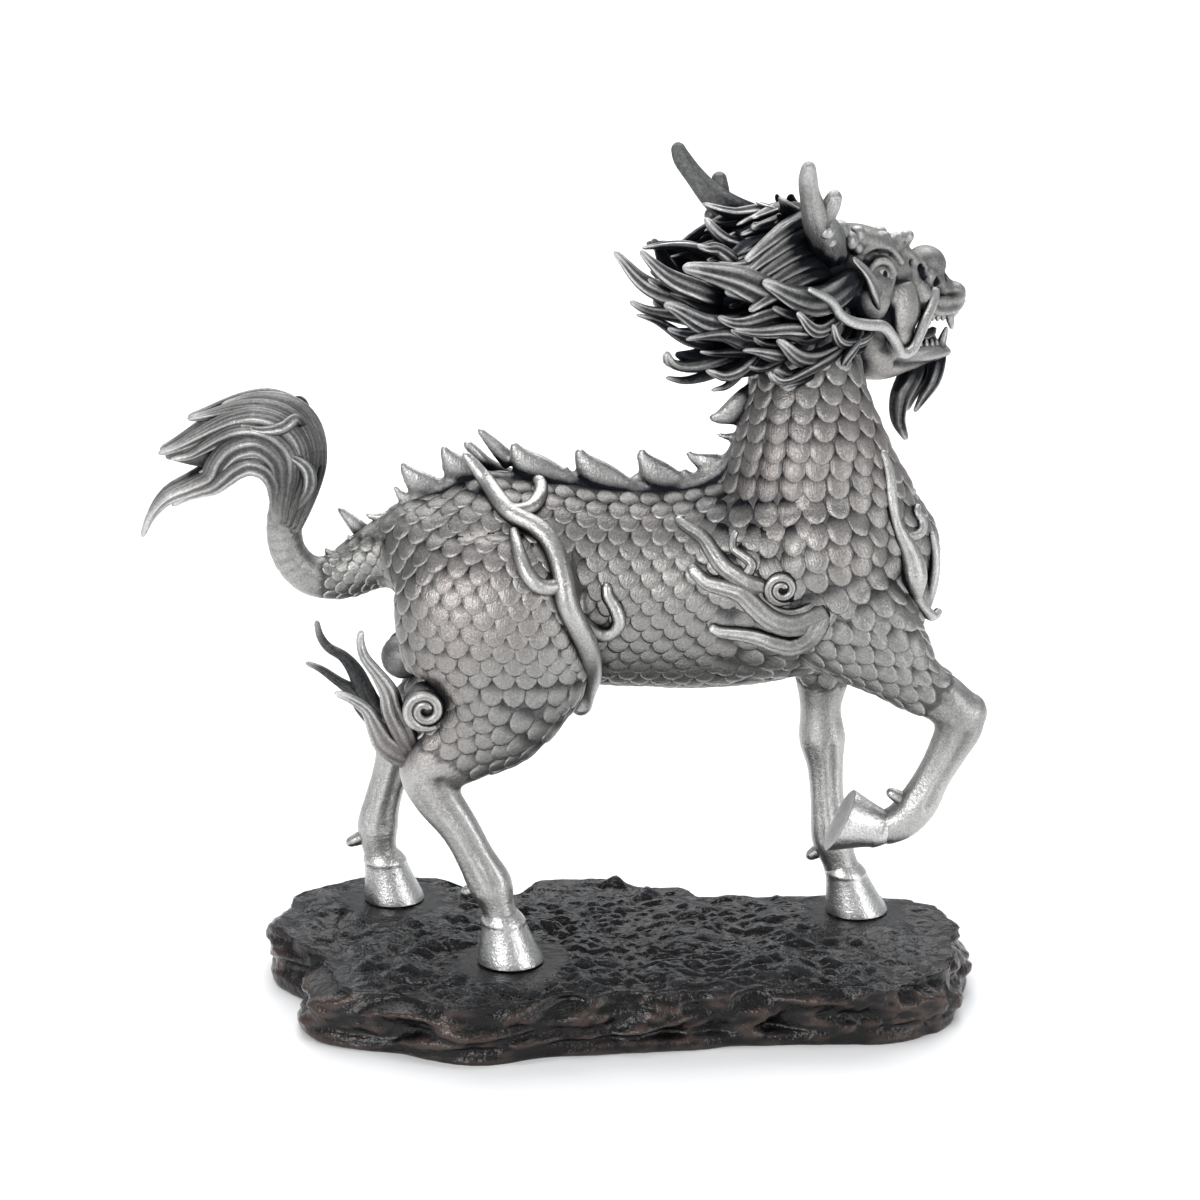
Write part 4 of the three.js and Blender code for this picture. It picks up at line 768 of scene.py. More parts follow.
def remeshed(shape, cell, rounds):
    """One skin round all forms of the shape, with softened joints."""
    thing = linked("forms", new_mesh("forms", shape.points, shape.faces))
    modifier = thing.modifiers.new("skin", "REMESH")
    modifier.mode = "VOXEL"
    modifier.voxel_size = cell
    soften = thing.modifiers.new("soften", "SMOOTH")
    soften.factor = 0.5
    soften.iterations = rounds
    result = thing.evaluated_get(bpy.context.evaluated_depsgraph_get()).to_mesh()
    points = np.empty(len(result.vertices) * 3)
    result.vertices.foreach_get("co", points)
    faces = [tuple(p.vertices) for p in result.polygons]
    bpy.data.objects.remove(thing)
    return Shape(points.reshape(-1, 3), faces).outward()


def point_normals(shape):
    """Normal of the skin at each point."""
    tri = shape.triangles()
    a, b, c = (shape.points[tri[:, k]] for k in range(3))
    flat = np.cross(b - a, c - a)
    normals = np.zeros_like(shape.points)
    for k in range(3):
        np.add.at(normals, tri[:, k], flat)
    return unit(normals)


def tree_of(shape):
    """Search tree of the skin, for rays and nearest points."""
    return BVHTree.FromPolygons([Vector(p) for p in shape.points], shape.faces)


def nearest(tree, points):
    """Nearest skin point, its normal and its distance, for each point."""
    found = [tree.find_nearest(Vector(p)) for p in points]
    return (np.array([f[0] for f in found]), np.array([f[1] for f in found]),
            np.array([f[3] for f in found]))


def drape(path, side, tree, lift, count=14):
    """Lays a path of [x, z, ...] on the skin. Past the body's edge it keeps the last depth found."""
    dense = even([[x, 0, z, *rest] for x, z, *rest in path], 40)
    last, laid = None, []
    for x, z in dense[:, (0, 2)]:
        hit = tree.ray_cast(Vector((x, side * FIGURE_HEIGHT, z)), Vector((0, -side, 0)))[0]
        last = last if hit is None else hit.y
        laid.append(last)
    first = next(d for d in laid if d is not None)
    laid = np.array([first if d is None else d for d in laid])
    for _ in range(4):
        laid[1:-1] = (laid[:-2] + 2 * laid[1:-1] + laid[2:]) / 4
    dense[:, 1] = laid + side * lift
    return even(dense, count)


def body_forms():
    """Trunk, neck, tail, legs and rounded masses, as closed skins that overlap."""
    legs = (NEAR_HIND_LEG, FAR_HIND_LEG, FAR_FORE_LEG, NEAR_FORE_LEG)
    forms = [sweep(TRUNK, 40), sweep(NECK, 36), sweep(TAIL, 24)]
    forms += [sweep(leg, 28) for leg in legs]
    return forms + [ball(m[:3], m[3:], around=28, rows=18) for m in MASSES]


def hoof(coronet, sole, faces):
    """Smooth hoof with a rolled coronet and a flat sole."""
    axis = unit(np.asarray(faces, float))
    share, swell = np.array(HOOF_PROFILE).T[..., None]
    top, low = np.array(coronet, float), np.array(sole, float)
    rows = top + (low - top) * share
    rows[:, 3:] *= swell
    side = unit(np.cross(Y, axis))
    front = unit(np.cross(axis, side))
    angle = 2 * np.pi * np.arange(40) / 40
    rings = (rows[:, None, :3] + side * (np.cos(angle) * rows[:, 3:4])[..., None]
             + front * (np.sin(angle) * rows[:, 4:5])[..., None])
    shape = Shape(*wrap(rings), rubbed=0.8).outward()
    flat = (shape.points - low[:3]) @ axis > -0.05
    shape.rubbed[flat] = 0.3
    shape.dark[flat] = 0.3
    return shape


def dew_claw(ends):
    """Small horny spike behind a fetlock, from its root to its tip."""
    path = [ends[0], [(a + b) / 2 for a, b in zip(*ends)], ends[1]]
    return strand(path, 2.1, Z, depth=0.9, root=1, tip=0.55, ridges=(), steps=14, around=14, striated=0,
                  root_dark=0.2)


def tendon_strokes():
    """Long grooves down both faces of the lower legs, between the bone and the tendon."""
    strokes = []
    for leg, first, last in ((NEAR_HIND_LEG, 6, 10), (FAR_HIND_LEG, 6, 10), (FAR_FORE_LEG, 4, 7),
                             (NEAR_FORE_LEG, 5, 8), (NEAR_FORE_LEG, 1, 4)):
        rows, _ = along(leg[first:last + 1], np.linspace(0.06, 0.94, 8))
        way = unit(np.gradient(rows[:, :3], axis=0))
        across = unit(np.cross(way, Y))
        for side in (-1, 1):
            for share, height in ((0.34, -0.9), (-0.5, -0.4)):
                line = rows[:, :3] + Y * side * rows[:, 4:5] * 0.95 + across * rows[:, 3:4] * share
                strokes.append((line, 1.0, height))
    return strokes


def build_body():
    """The animal without ornament: one soft skin, then tendons and wrinkles pressed into it."""
    body = sculpt(remeshed(join(body_forms()), *BODY_SKIN), tendon_strokes(), LEG_STAIN, sides=(-1,))
    wrinkle_tail(body)
    body.rubbed[:] = 0.1 + 0.3 * smooth_step(62, 46, body.points[:, 2])
    return body


def build_feet():
    """The four hooves and the dew claws above them."""
    return join([hoof(**h) for h in HOOVES] + [dew_claw(ends) for ends in DEW_CLAWS])


def fan(tree, centre, front, side, angles):
    """Rays from the centre, at angles from the front towards the side. Gives where they meet the
    skin, the skin's normals there, and those rays' angles."""
    spots, outs, met = [], [], []
    for angle in angles:
        way = front * math.cos(angle) + side * math.sin(angle)
        hit, normal, _, _ = tree.ray_cast(Vector(centre), Vector(way))
        if hit is not None:
            spots.append(hit)
            outs.append(normal)
            met.append(angle)
    return np.array(spots), np.array(outs), np.array(met)


def between(where, run, rows):
    """Row at a distance along a line of rows."""
    return np.array([np.interp(where, run, column) for column in rows.T])


def scale_rows(axis, face, tree, size, reach):
    """Scale places in rows across a limb, the neck or the tail. Rays leave the axis in planes
    across it, up to the reach in degrees to both sides of the face. Rows are counted along the
    line that faces outwards, and places from that line."""
    dense = even(axis, 240)
    tangent = unit(np.gradient(dense[:, :3], axis=0))
    side = unit(np.cross(np.asarray(face, float), tangent))
    front = unit(np.cross(tangent, side))
    skin = []
    for place, out in zip(dense, front):
        hit = tree.ray_cast(Vector(place[:3]), Vector(out))[0]
        skin.append(hit if hit is not None else (skin[-1] if skin else Vector(place[:3])))
    down = passed(np.array(skin))
    angles = np.radians(np.linspace(-reach, reach, 121))
    found = []
    for row in range(int(down[-1] / (size * SCALE_SQUASH))):
        i = int(np.searchsorted(down, (row + 0.5) * size * SCALE_SQUASH))
        spots, outs, met = fan(tree, dense[i, :3], front[i], side[i], angles)
        if len(spots) < 3:
            continue
        run = passed(spots)
        middle = run[np.argmin(np.abs(met))]
        shift = 0.5 * (row % 2)
        first = math.ceil(-middle / size - shift)
        last = int((run[-1] - middle) / size - shift)
        for k in range(first, last + 1):
            where = middle + (k + shift) * size
            found.append((between(where, run, spots), size, tangent[i], unit(between(where, run, outs))))
    return found


def throat_plates(tree, size):
    """Places of the broad plates down the throat and the chest."""
    line, length = along(NECK_AXIS, np.linspace(0, 1, 200))
    way = unit(np.gradient(line, axis=0))
    found = []
    for share in np.arange(0.12, 0.62, THROAT_GAP / length):
        i = int(share * 199)
        front = unit(X - way[i] * way[i][0])
        hit, normal, _, _ = tree.ray_cast(Vector(line[i]), Vector(front))
        if hit is not None:
            found.append((np.array(hit), size, way[i], np.array(normal)))
    return found


def trunk_rows(tree, size):
    """Scale places on both flanks, in rows along the body, counted down from the back."""
    dense = even(TRUNK, 400)
    angles = np.radians(np.linspace(2, 172, 121))
    first, last = TRUNK_SPAN
    found = []
    for side in (-1, 1):
        for column in range(int((last - first) / (size * 0.5)) + 1):
            x = first + column * size * 0.5
            centre = np.array([x, MIDDLE, np.interp(x, dense[:, 0], dense[:, 2])])
            spots, outs, _ = fan(tree, centre, Z, Y * side, angles)
            if len(spots) < 3:
                continue
            run = passed(spots)
            where = size * SCALE_SQUASH * (0.5 + column % 2)
            while where < run[-1]:
                out = unit(between(where, run, outs))
                down = unit(np.cross(X, out)) * side
                down = down if down[2] < 0 or abs(out[2]) > 0.9 else -down
                found.append((between(where, run, spots), size, down - X * TRUNK_LEAN, out))
                where += 2 * size * SCALE_SQUASH
    return found


def scale_groups(tree):
    """Scale places of each region, where on the skin they may lie, and their lift. Where two
    regions meet, the one that comes first keeps its scales."""
    band = np.array(HIP_BANDS[0])

    def behind_band(spot):
        low = 55 - 0.5 * (spot[0] + 45)
        return -57 < spot[0] < np.interp(spot[2], band[:, 1], band[:, 0]) + 1.5 and spot[2] > low

    def beside_fin(spot):
        return (abs(spot[1] - MIDDLE) > 3.0 or spot[2] < 90) and spot[2] > 63

    def on_throat(spot):
        return spot[2] > 92

    def on_neck(spot):
        return spot[2] > max(87, 118 - 1.25 * (spot[0] - 20))

    def on_shoulder(spot):
        return spot[0] > 29 and spot[2] < 112

    def on_tail_root(spot):
        return -70 < spot[0] < -53 and spot[2] < 102

    def limb(name, axis, face, reach, allowed):
        """Group of scales in rows across an axis."""
        size, lift = SCALES[name]
        return scale_rows(axis, face, tree, size, reach), allowed, lift

    return [
        limb("haunch", HAUNCH_AXIS, NEAR, 125, behind_band),
        limb("haunch", flipped(HAUNCH_AXIS, 1) + FAR_HAUNCH_SHIFT, Y, 125, behind_band),
        (throat_plates(tree, SCALES["throat"][0]), on_throat, SCALES["throat"][1]),
        limb("neck", NECK_AXIS, X, 178.5, on_neck),
        limb("shoulder", SHOULDER_AXIS, NEAR, 125, on_shoulder),
        limb("shoulder", FAR_SHOULDER_AXIS, Y, 125, on_shoulder),
        limb("tail", [row[:3] for row in TAIL], NEAR, 179, on_tail_root),
        (trunk_rows(tree, SCALES["trunk"][0]), beside_fin, SCALES["trunk"][1]),
    ]


def place_tree(chosen):
    """Search tree of the places of chosen scales."""
    places = KDTree(len(chosen))
    for k, item in enumerate(chosen):
        places.insert(Vector(item[0]), k)
    places.balance()
    return places


def lay_scales(groups, tree):
    """Snaps the places to the skin and drops hidden and crowded ones. Gives the place, normal,
    flow, size and lift of the others."""
    chosen = []
    for places, allowed, lift in groups:
        kept = place_tree(chosen) if chosen else None
        skin, normal, distance = nearest(tree, [place[0] for place in places])
        batch = []
        for k, (_, size, flow, outward) in enumerate(places):
            if distance[k] > SNAP_REACH or normal[k] @ outward < SNAP_FACING or not allowed(skin[k]):
                continue
            if kept and kept.find(Vector(skin[k]))[2] < SCALE_GAP * size:
                continue
            batch.append((skin[k], normal[k], flow, size, lift))
        chosen += batch
    return chosen


def plate_pattern():
    """Points of a plate: across, along, height of the dome, share of the tilt, how rubbed and how
    dark. The middle comes first, then the rings, and last the skirt that leads into the body."""
    turns = 2 * np.pi * np.arange(PLATE_SEGMENTS) / PLATE_SEGMENTS
    rows = [[[0, 0, PLATE_MIDDLE, 0, 0.1, 0]]]
    for reach, dome in PLATE_RINGS:
        u, v = np.sin(turns) * reach, np.cos(turns) * reach
        rubbed = 0.1 + 0.45 * smooth_step(0.8, 1.0, reach) * smooth_step(0.0, 0.8, v)
        # The hidden end of a plate, under the free edge of the one above, is dark: patina with a painted
        # shadow. So is the hidden side of its rim, a little.
        dark = 0.85 * smooth_step(-0.05, 0.65, -v) + 0.2 * smooth_step(0.9, 1.0, reach) * (v < 0.3)
        rows.append(np.column_stack([u, v, np.full_like(v, dome), 0.5 * v + 0.15, rubbed, dark]))
    none = np.zeros_like(turns)
    rows.append(np.column_stack([np.sin(turns), np.cos(turns), none, none, none, none + 1]))
    return np.vstack(rows).T


def plate_faces():
    """Faces over the points of one plate."""
    faces = []
    for j in range(PLATE_SEGMENTS):
        k = (j + 1) % PLATE_SEGMENTS
        faces.append((0, 1 + j, 1 + k))
        for ring in range(len(PLATE_RINGS)):
            low, high = 1 + ring * PLATE_SEGMENTS, 1 + (ring + 1) * PLATE_SEGMENTS
            faces.append((low + j, high + j, high + k, low + k))
    return faces


def shape_plates(chosen, tree, seed):
    """Skins of the chosen scales, joined in one shape. Each is a low dome, free and raised at one
    end and sunk at the other."""
    draw = random.Random(seed)
    u, v, dome, tilt, rubbed, dark = plate_pattern()
    skirt = np.arange(len(u)) >= len(u) - PLATE_SEGMENTS
    grown = np.where(skirt, 1.01, 1.0)
    points, grain = [], []
    for place, normal, flow, size, lift in chosen:
        down = unit(flow - normal * (flow @ normal))
        across = unit(np.cross(down, normal))
        wide = size * PLATE_WIDE * draw.uniform(0.96, 1.04)
        free = size * PLATE_FREE * draw.uniform(0.96, 1.04)
        lean = draw.uniform(-0.06, 0.06)
        rise = lift * draw.uniform(0.85, 1.15)
        place = place + size * PLATE_SHIFT * (across * draw.uniform(-1, 1) + down * draw.uniform(-1, 1))
        tall = np.where(v > 0, free * (1 + PLATE_POINT * np.maximum(0, v) ** 3), size * PLATE_HIDDEN)
        aside = u * wide * grown + lean * size * v
        spots = place + across * aside[:, None] + down * (v * tall * grown)[:, None]
        skin, normals, _ = nearest(tree, spots)
        height = np.where(skirt, PLATE_SUNK, dome * lift * size / 5 + tilt * rise)
        points.append(skin + unit(normals + normal) * height[:, None])
        grain.append(np.column_stack([u * wide, v * tall, np.full_like(u, 0.5)]) * ~skirt[:, None])
    pattern = plate_faces()
    faces = [tuple(i + plate * len(u) for i in face) for plate in range(len(chosen)) for face in pattern]
    looks = (np.tile(rubbed, len(chosen)), np.tile(dark, len(chosen)), np.vstack(grain))
    shape = Shape(np.vstack(points), faces, *looks)
    one, two, three = shape.points[[face[:3] for face in pattern]].transpose(1, 0, 2)
    if np.cross(two - one, three - one).sum(0) @ chosen[0][1] < 0:
        shape.faces = [tuple(reversed(face)) for face in faces]
    return shape


def skin_flames(tree):
    """Bands, flames and curls on both flanks. The far flank has only the larger ones."""
    forms = []
    for side in (-1, 1):
        face = np.array([0.0, side, 0.0])
        shown = None if side < 0 else FAR_FLANK_FORMS
        for band in HIP_BANDS[:shown]:
            rows = drape(band, side, tree, 0, 3 * len(band))
            rows[:, 1] += side * BAND_LIFT * rows[:, 3]
            rows = np.column_stack([rows, rows[:, 3]])
            forms.append(rod(rows, face, 90, 26, both_round=True, rubbed=0.22, striated=0.2))
        for path, half in SHOULDER_FLAMES[:shown]:
            path = drape(path, side, tree, SKIN_LIFT)
            path[:2, 1] -= side * np.array(FLAME_ROOT_SINK)
            forms.append(strand(path, half * 1.1, face, root=1.0, tip=0.45, ridges=(0.8, 0.1, -0.6),
                                groove=0.12, steps=50, around=30, striated=0.4, root_dark=0.0, dim=0.15,
                                shine=0.6))
        x, z = SHOULDER_CURL["centre"]
        radius = SHOULDER_CURL["radius"]
        depth = tree.ray_cast(Vector((x, side * FIGURE_HEIGHT, z)), Vector((0, -side, 0)))[0].y
        centre = [x, depth + side * 0.7, z]
        forms.append(ball(centre, [radius * 0.8, 0.9, radius * 0.8], dark=0.9))
        forms.append(spiral(centre, radius, face, 1.0))
    return forms


def free_flames():
    """Flames at the chest and behind the hocks, and the curls on the gaskins."""
    forms = []
    for flame in CHEST_FLAMES:
        for side in (-1, 1):
            rows = np.array(flame, float)
            if side > 0:
                rows[:, 1] = 2 * MIDDLE - rows[:, 1]
            rows = np.column_stack([rows, rows[:, 3]])
            rows[:, 3:] *= 1.15
            forms.append(rod(rows, (0.5, side, 0), 60, 24, both_round=True, rubbed=0.25, striated=0.4))
    for k, (path, half) in enumerate(HOCK_FLAMES):
        side = -1 if path[0][1] < 0 else 1
        for facing, share in ((side, 1.0), (-side, 0.9)):
            steps, around = (48, 36) if facing < 0 else (36, 28)
            # The far side's flames are darker beside their ridges: painted shade.
            forms.append(strand(path, half * share, (0, facing, 0), depth=0.75, root=0.7, tip=0.34,
                                ridges=(1.0, 0.2, -0.6), groove=0.13, steps=steps, around=around,
                                striated=0.8, root_dark=0.0, twist=0.5, fine=9, seed=k + share,
                                dim=0.35 if side < 0 else 0.5, shine=0.7, belly_at=0.35))
    for curl in HOCK_CURLS:
        x, y, z = curl["centre"]
        backing = curl["backing"]
        face = -Y * np.sign(backing)
        # The far curl's backing is darker: painted shade.
        forms.append(ball([x, y + backing, z], [5.6, abs(backing), 5.6], dark=0.1 if backing > 0 else 0.5))
        forms.append(spiral(curl["centre"], HOCK_CURL_RADIUS, face, 1.2))
    return forms


def crest():
    """Fleshy fin along the back and the nape, whose flames lean towards the tail, in one skin."""
    fin = even(FIN, 90)
    fade = np.sqrt(np.clip(1 - np.linspace(-1, 1, 90) ** 12, 0.01, 1))
    forms = [tube(fin[:, :3], fin[:, 3] * fade, fin[:, 4] * fade, Y, 20)]
    for tip_x, tip_z, root_x, root_z, y, girth in CREST:
        tip = np.array([tip_x, tip_z + CREST_TALLER])
        rise = np.array([root_x, root_z]) - tip
        sag = np.array([rise[1], -rise[0]])
        rows = []
        for share, aside, half in CREST_PROFILE:
            x, z = tip + rise * share + sag * aside
            size = max(CREST_LEAST, half * np.linalg.norm(rise) * girth)
            rows.append([x, y, z, size, max(CREST_LEAST, CREST_THICKNESS * size)])
        forms.append(rod(rows[::-1], Y, 40, 20))
    forms += [rod(spike, Y, 30, 20) for spike in CREST_SPIKES]
    skin = remeshed(join(forms), *CREST_SKIN)
    height = skin.points[:, 2]
    skin.rubbed[:] = 0.3
    skin.dark[:] = 0.08 * smooth_step(110, 118, height)
    skin.grain[:] = np.column_stack([skin.points[:, 0], height, np.full(len(height), 0.3)])
    return skin


def tail_tuft():
    """Comma-shaped tuft: a core under broad flowing masses, with finer locks on them."""
    forms = [sweep(np.array(TAIL_TUFT) * (1, 1, 1, 0.8, 0.8), 40, dark=0.5)]
    looks = {"root_dark": 0.0, "striated": 0.9, "belly_at": 0.5, "fall": 3, "depth": 0.7}
    broad = {"depth": 0.8, "ridges": (0.9, 0.1)}
    for side in (-1, 1):
        steps, around = (60, 56) if side < 0 else (40, 36)
        paths = []
        for k, (path, half) in enumerate(TUFT_STRANDS):
            path = np.array(path, float)
            if side > 0:
                path[:, 1] = 2 * TUFT_MIDDLE - path[:, 1]
            paths.append(even(path, 12))
            style = {**looks, "ridges": (0.3, -0.7), **(broad if k < TUFT_MASSES else {})}
            forms.append(strand(paths[k], half * 1.2, (0, side, 0.3), root=0.5, tip=0.4, groove=0.11,
                                steps=steps, around=around, twist=0.4, fine=17, seed=k + side, dim=0.55,
                                **style))
        for k in range(TUFT_MASSES - 1):
            for share, rise, half in TUFT_BETWEEN:
                middle = paths[k] * (1 - share) + paths[k + 1] * share
                middle[:, 1] += side * rise
                last = len(middle) - 2 - (k + int(share * 3)) % 4
                forms.append(strand(middle[1:last], half, (0, side, 0.2), root=0.4, tip=0.35, groove=0.08,
                                    ridges=(0.6, -0.5), steps=36, around=26, fine=11, seed=2.0 * k + share,
                                    dim=0.4, **looks))
    return forms


def mane():
    """Mane locks of the right and of the left side, and what lies under them, in the head's frame."""
    draw = random.Random(11)
    sides = []
    for side in (-1, 1):
        forms = []
        steps, around = (40, 34) if side < 0 else (32, 26)
        for i, (path, half) in enumerate(MANE_LOCKS):
            points = np.array(path, float)
            if side > 0:
                points[:, 0] = points[:, 0] * FAR_LOCK_REACH + FAR_LOCK_FORWARD
                points[:, 1] *= -1
                points[:, 2] += math.sin(i * FAR_LOCK_SWAY) * np.arange(len(points))
            outward = points[0] * (0, 1, 1)
            start = points[0] + X * LOCK_LEAD + outward * (LOCK_SINK - 1)
            face = unit(outward)
            turn = draw.uniform(-0.3, 0.3)
            forms.append(strand([start, *points], half * 1.12, face, depth=0.62, root=0.5, tip=0.34,
                                ridges=(0.95 + turn, turn, -0.9 + turn), groove=0.16, steps=steps,
                                around=around, twist=0.5, fine=9, seed=draw.uniform(0, 6), dim=0.75,
                                wave=2.0, belly_at=0.6, fall=2.6, shine=0.95))
            drop = np.array([draw.uniform(-3, 1), draw.uniform(-1, 1), draw.uniform(-3.4, -2)])
            inner = points[:-1] if len(points) > 3 else np.vstack([points[:-1], points[-2:].mean(0)])
            inner = np.vstack([start, inner]) * (1, 0.9, 1) + drop
            forms.append(strand(inner, half * 0.75, face, depth=0.7, root=0.7, tip=0.35, ridges=(0.6, -0.6),
                                groove=0.18, steps=steps * 2 // 3, around=around * 2 // 3, root_dark=1.0,
                                seed=draw.uniform(0, 6), dim=0.95, wave=1.2, belly_at=0.5, fall=3,
                                shine=0.4))
        for k in range(BUNDLE_LOCKS):
            share = (k + 0.5) / BUNDLE_LOCKS
            path = np.array(BUNDLE_TOP) * (1 - share) + np.array(BUNDLE_LOW) * share
            path = flipped(path + (0, 0.6 * (k % 2), 0), side)
            forms.append(strand(path[:len(path) - k % 2], 2.5, (0, side, 0.4), depth=0.7, tip=0.4,
                                ridges=(0.6, -0.4), groove=0.06, steps=steps, around=around, root_dark=0.4,
                                fine=9, seed=1.7 * k, dim=0.6, belly_at=0.5, shine=0.75))
        sides.append(join(forms))
    return [*sides, join(under_locks(draw))]


def cover(stations, count, first, draw, **looks):
    """Locks laid round a sweep of the head, each starting between a first share of its length
    and the middle of it."""
    line = even(stations, 60)
    forms = []
    for k in range(count):
        turn = 2 * np.pi * ((k * GOLDEN_TURN) % 1)
        start = first + (0.5 - first) * k / count
        path = []
        for step in range(5):
            row = line[min(59, int(59 * (start + 0.13 * step)))]
            reach = 0.93 + 0.06 * step
            swirl = turn + 0.09 * step * math.sin(k * 1.9)
            path.append([row[0] - (1.6 if step == 4 else 0), math.sin(swirl) * row[4] * reach,
                         row[2] + math.cos(swirl) * row[3] * reach])
        forms.append(strand(path, draw.uniform(2.0, 2.8), (0, math.sin(turn), math.cos(turn)), depth=0.6,
                            root=0.9, tip=0.35, ridges=(0.6, -0.5), groove=0.22, steps=24, around=22,
                            seed=k, shine=0.6, **looks))
    return forms


def under_locks(draw):
    """The core of the mane, and dark locks close to it that fill the gaps between the others."""
    forms = [sweep(MANE_CORE, 24, dark=1.0), sweep(NAPE, 24, dark=1.0), sweep(FORELOCK, 20, dark=0.9)]
    forms += cover(MANE_CORE, UNDER_LOCKS, 0.0, draw, root_dark=0.6, dim=0.85)
    return forms + cover(FORELOCK, CROWN_LOCKS, 0.1, draw, root_dark=0.2, dim=0.6)


def head_forms():
    """Skull, jaw, lips, nose, cheeks and brows, in the head's frame, as skins that overlap."""
    forms = [sweep(SKULL, 32), sweep(LOWER_JAW, 28), sweep(UPPER_LIP, 24), ball(NOSE[:3], NOSE[3:])]
    for side in (-1, 1):
        for row in [CHEEK, *FACE_BALLS]:
            forms.append(ball(flipped([row], side)[0][:3], row[3:]))
        forms.append(sweep(flipped(BROW, side), 18))
        for path, radius in FACE_RODS:
            size = np.full(24, radius)
            forms.append(tube(even(flipped(path, side), 24), size, size, (0, side, 0.1), 14))
    return forms


def sculpt(shape, strokes, stain, sides=(-1, 1)):
    """Moves the skin out or in along lines near it, and along their mirrors for side 1. The
    stain is the patina in a cut, for each unit of its depth."""
    normals = point_normals(shape)
    for path, reach, height in strokes:
        for side in sides:
            line = even(flipped(path, side), 24)
            low, high = line.min(0) - 3 * reach, line.max(0) + 3 * reach
            near = np.flatnonzero(((shape.points > low) & (shape.points < high)).all(1))
            gap = np.linalg.norm(shape.points[near, None] - line[None], axis=2).min(1)
            push = np.exp(-(gap / reach) ** 2) * height
            shape.points[near] += normals[near] * push[:, None]
            shape.dark[near] = np.maximum(shape.dark[near], -stain * push)
    return shape


def wrinkle_tail(body):
    """Presses cross wrinkles into the upper part of the tail, under the tuft."""
    line, length = along(TAIL, np.linspace(0, 1, 200))
    near = np.flatnonzero((body.points[:, 0] < -70) & (body.points[:, 2] > 88))
    gaps = np.linalg.norm(body.points[near, None] - line[None, :, :3], axis=2)
    place = gaps.argmin(1) / 199 * length
    angle = np.arctan2(body.points[near, 1], body.points[near, 2])
    wave = np.sin(2 * np.pi * place / WRINKLE_GAP + 0.7 * np.sin(2 * angle))
    strength = smooth_step(0.5, 0.6, place / length)
    body.points[near] += point_normals(body)[near] * (WRINKLE_DEPTH * wave * strength)[:, None]
    body.dark[near] = np.maximum(body.dark[near], -0.25 * wave * strength)


def horn_relief(share, ring):
    """Faint flutes along a horn, and low knobs round its root."""
    knobs = np.sin(5 * ring) * np.sin(26 * share + 2 * ring) * (1 - smooth_step(0.1, 0.6, share))
    return 1 + 0.03 * np.cos(7 * ring) + 0.09 * knobs


def horns():
    """Horns with one branch each and knobs round the root. The far one is darker: painted shade over its
    patina.
    """
    forms = []
    for side in (-1, 1):
        patina_and_shade = HORN_PATINA_AND_SHADE[side]
        for stations in (HORN, HORN_BRANCH):
            rows = flipped(stations, side)
            rows[:, 0] += FAR_HORN_FORWARD * np.maximum(0, rows[:, 1])
            rows[:, 3:] *= HORN_GIRTH
            root = 0.45 * (1 - smooth_step(0.1, 0.6, np.linspace(0, 1, 48)))[:, None]
            forms.append(rod(rows, X, 48, 32, horn_relief, rubbed=0.35, dark=patina_and_shade + root, striated=0.9))
        for row in HORN_KNOBS:
            forms.append(ball(flipped([row], side)[0][:3], row[3:], rubbed=0.5, dark=patina_and_shade))
    return forms


def teeth():
    """Upper and lower teeth, with longer corner teeth, and the tongue."""
    forms = []
    for side in (-1, 1):
        spikes = []
        for roots, drop, half in ((UPPER_TEETH, -2.8, 1.15), (LOWER_TEETH, 2.8, 1.1)):
            spikes += [(root, root + (0.2, 0, drop), half) for root in flipped(roots, side)]
        spikes += [(*flipped(ends, side), half) for ends, half in CORNER_TEETH]
        for root, tip, half in spikes:
            forms.append(strand([root, (root + tip) / 2, tip], half, (0, side, 0), depth=0.9, root=1, tip=0.3,
                                ridges=(), steps=14, around=12, striated=0, root_dark=0.5))
    return forms + [sweep(TONGUE, 20, rubbed=0.3)]


def face_details():
    """Teeth, whiskers, ears, eyes, the lock at each jaw and the beard."""
    forms = teeth()
    for side in (-1, 1):
        face = (0, side, 0)
        forms.append(rod(flipped(WHISKER, side), face, 80, 16, rubbed=0.45, dark=0.1, striated=0.2))
        forms.append(strand(flipped(EAR, side), 2.9, (0.5, side, 0.2), depth=0.45, tip=0.3,
                            ridges=(0.9, -0.4), groove=0.3, steps=36, around=28, striated=0.5,
                            root_dark=0.2, dim=0.2))
        eye = flipped([EYE], side)[0]
        shift, sizes = PUPIL
        forms.append(ball(eye[:3], EYE[3:], rubbed=0.7))
        forms.append(ball(eye[:3] + flipped([shift], side)[0], sizes, dark=1.0))
        forms.append(strand(flipped(JAW_LOCK, side), 1.9, face, depth=0.7, root=0.9, tip=0.35,
                            ridges=(0.6, -0.3), steps=26, around=20, root_dark=0.5))
    path, half = BEARD_SIDE
    for path, half in (BEARD, (path, half), (flipped(path, 1), half)):
        forms.append(strand(path, half, NEAR, depth=1.0, root=0.9, tip=0.25, ridges=(0.8, -0.6), steps=44,
                            around=32, root_dark=0.4, fine=9, dim=0.75, shine=0.7, belly_at=0.5))
    return forms


def place_object(name, shape, material, node, sharp=None):
    """Makes the shape an object at the origin that rides on the one body."""
    mesh = new_mesh(name, to_metres(shape.points), shape.faces)
    mesh.shade_smooth()
    if sharp:
        mesh.set_sharp_from_angle(angle=math.radians(sharp))
    for key in ("rubbed", "dark"):
        mesh.attributes.new(key, "FLOAT", "POINT").data.foreach_set("value", getattr(shape, key))
    grain = mesh.attributes.new("grain", "FLOAT_VECTOR", "POINT")
    grain.data.foreach_set("vector", shape.grain.reshape(-1))
    mesh.materials.append(material)
    thing = linked(name, mesh)
    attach(thing, "root")
    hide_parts(node)


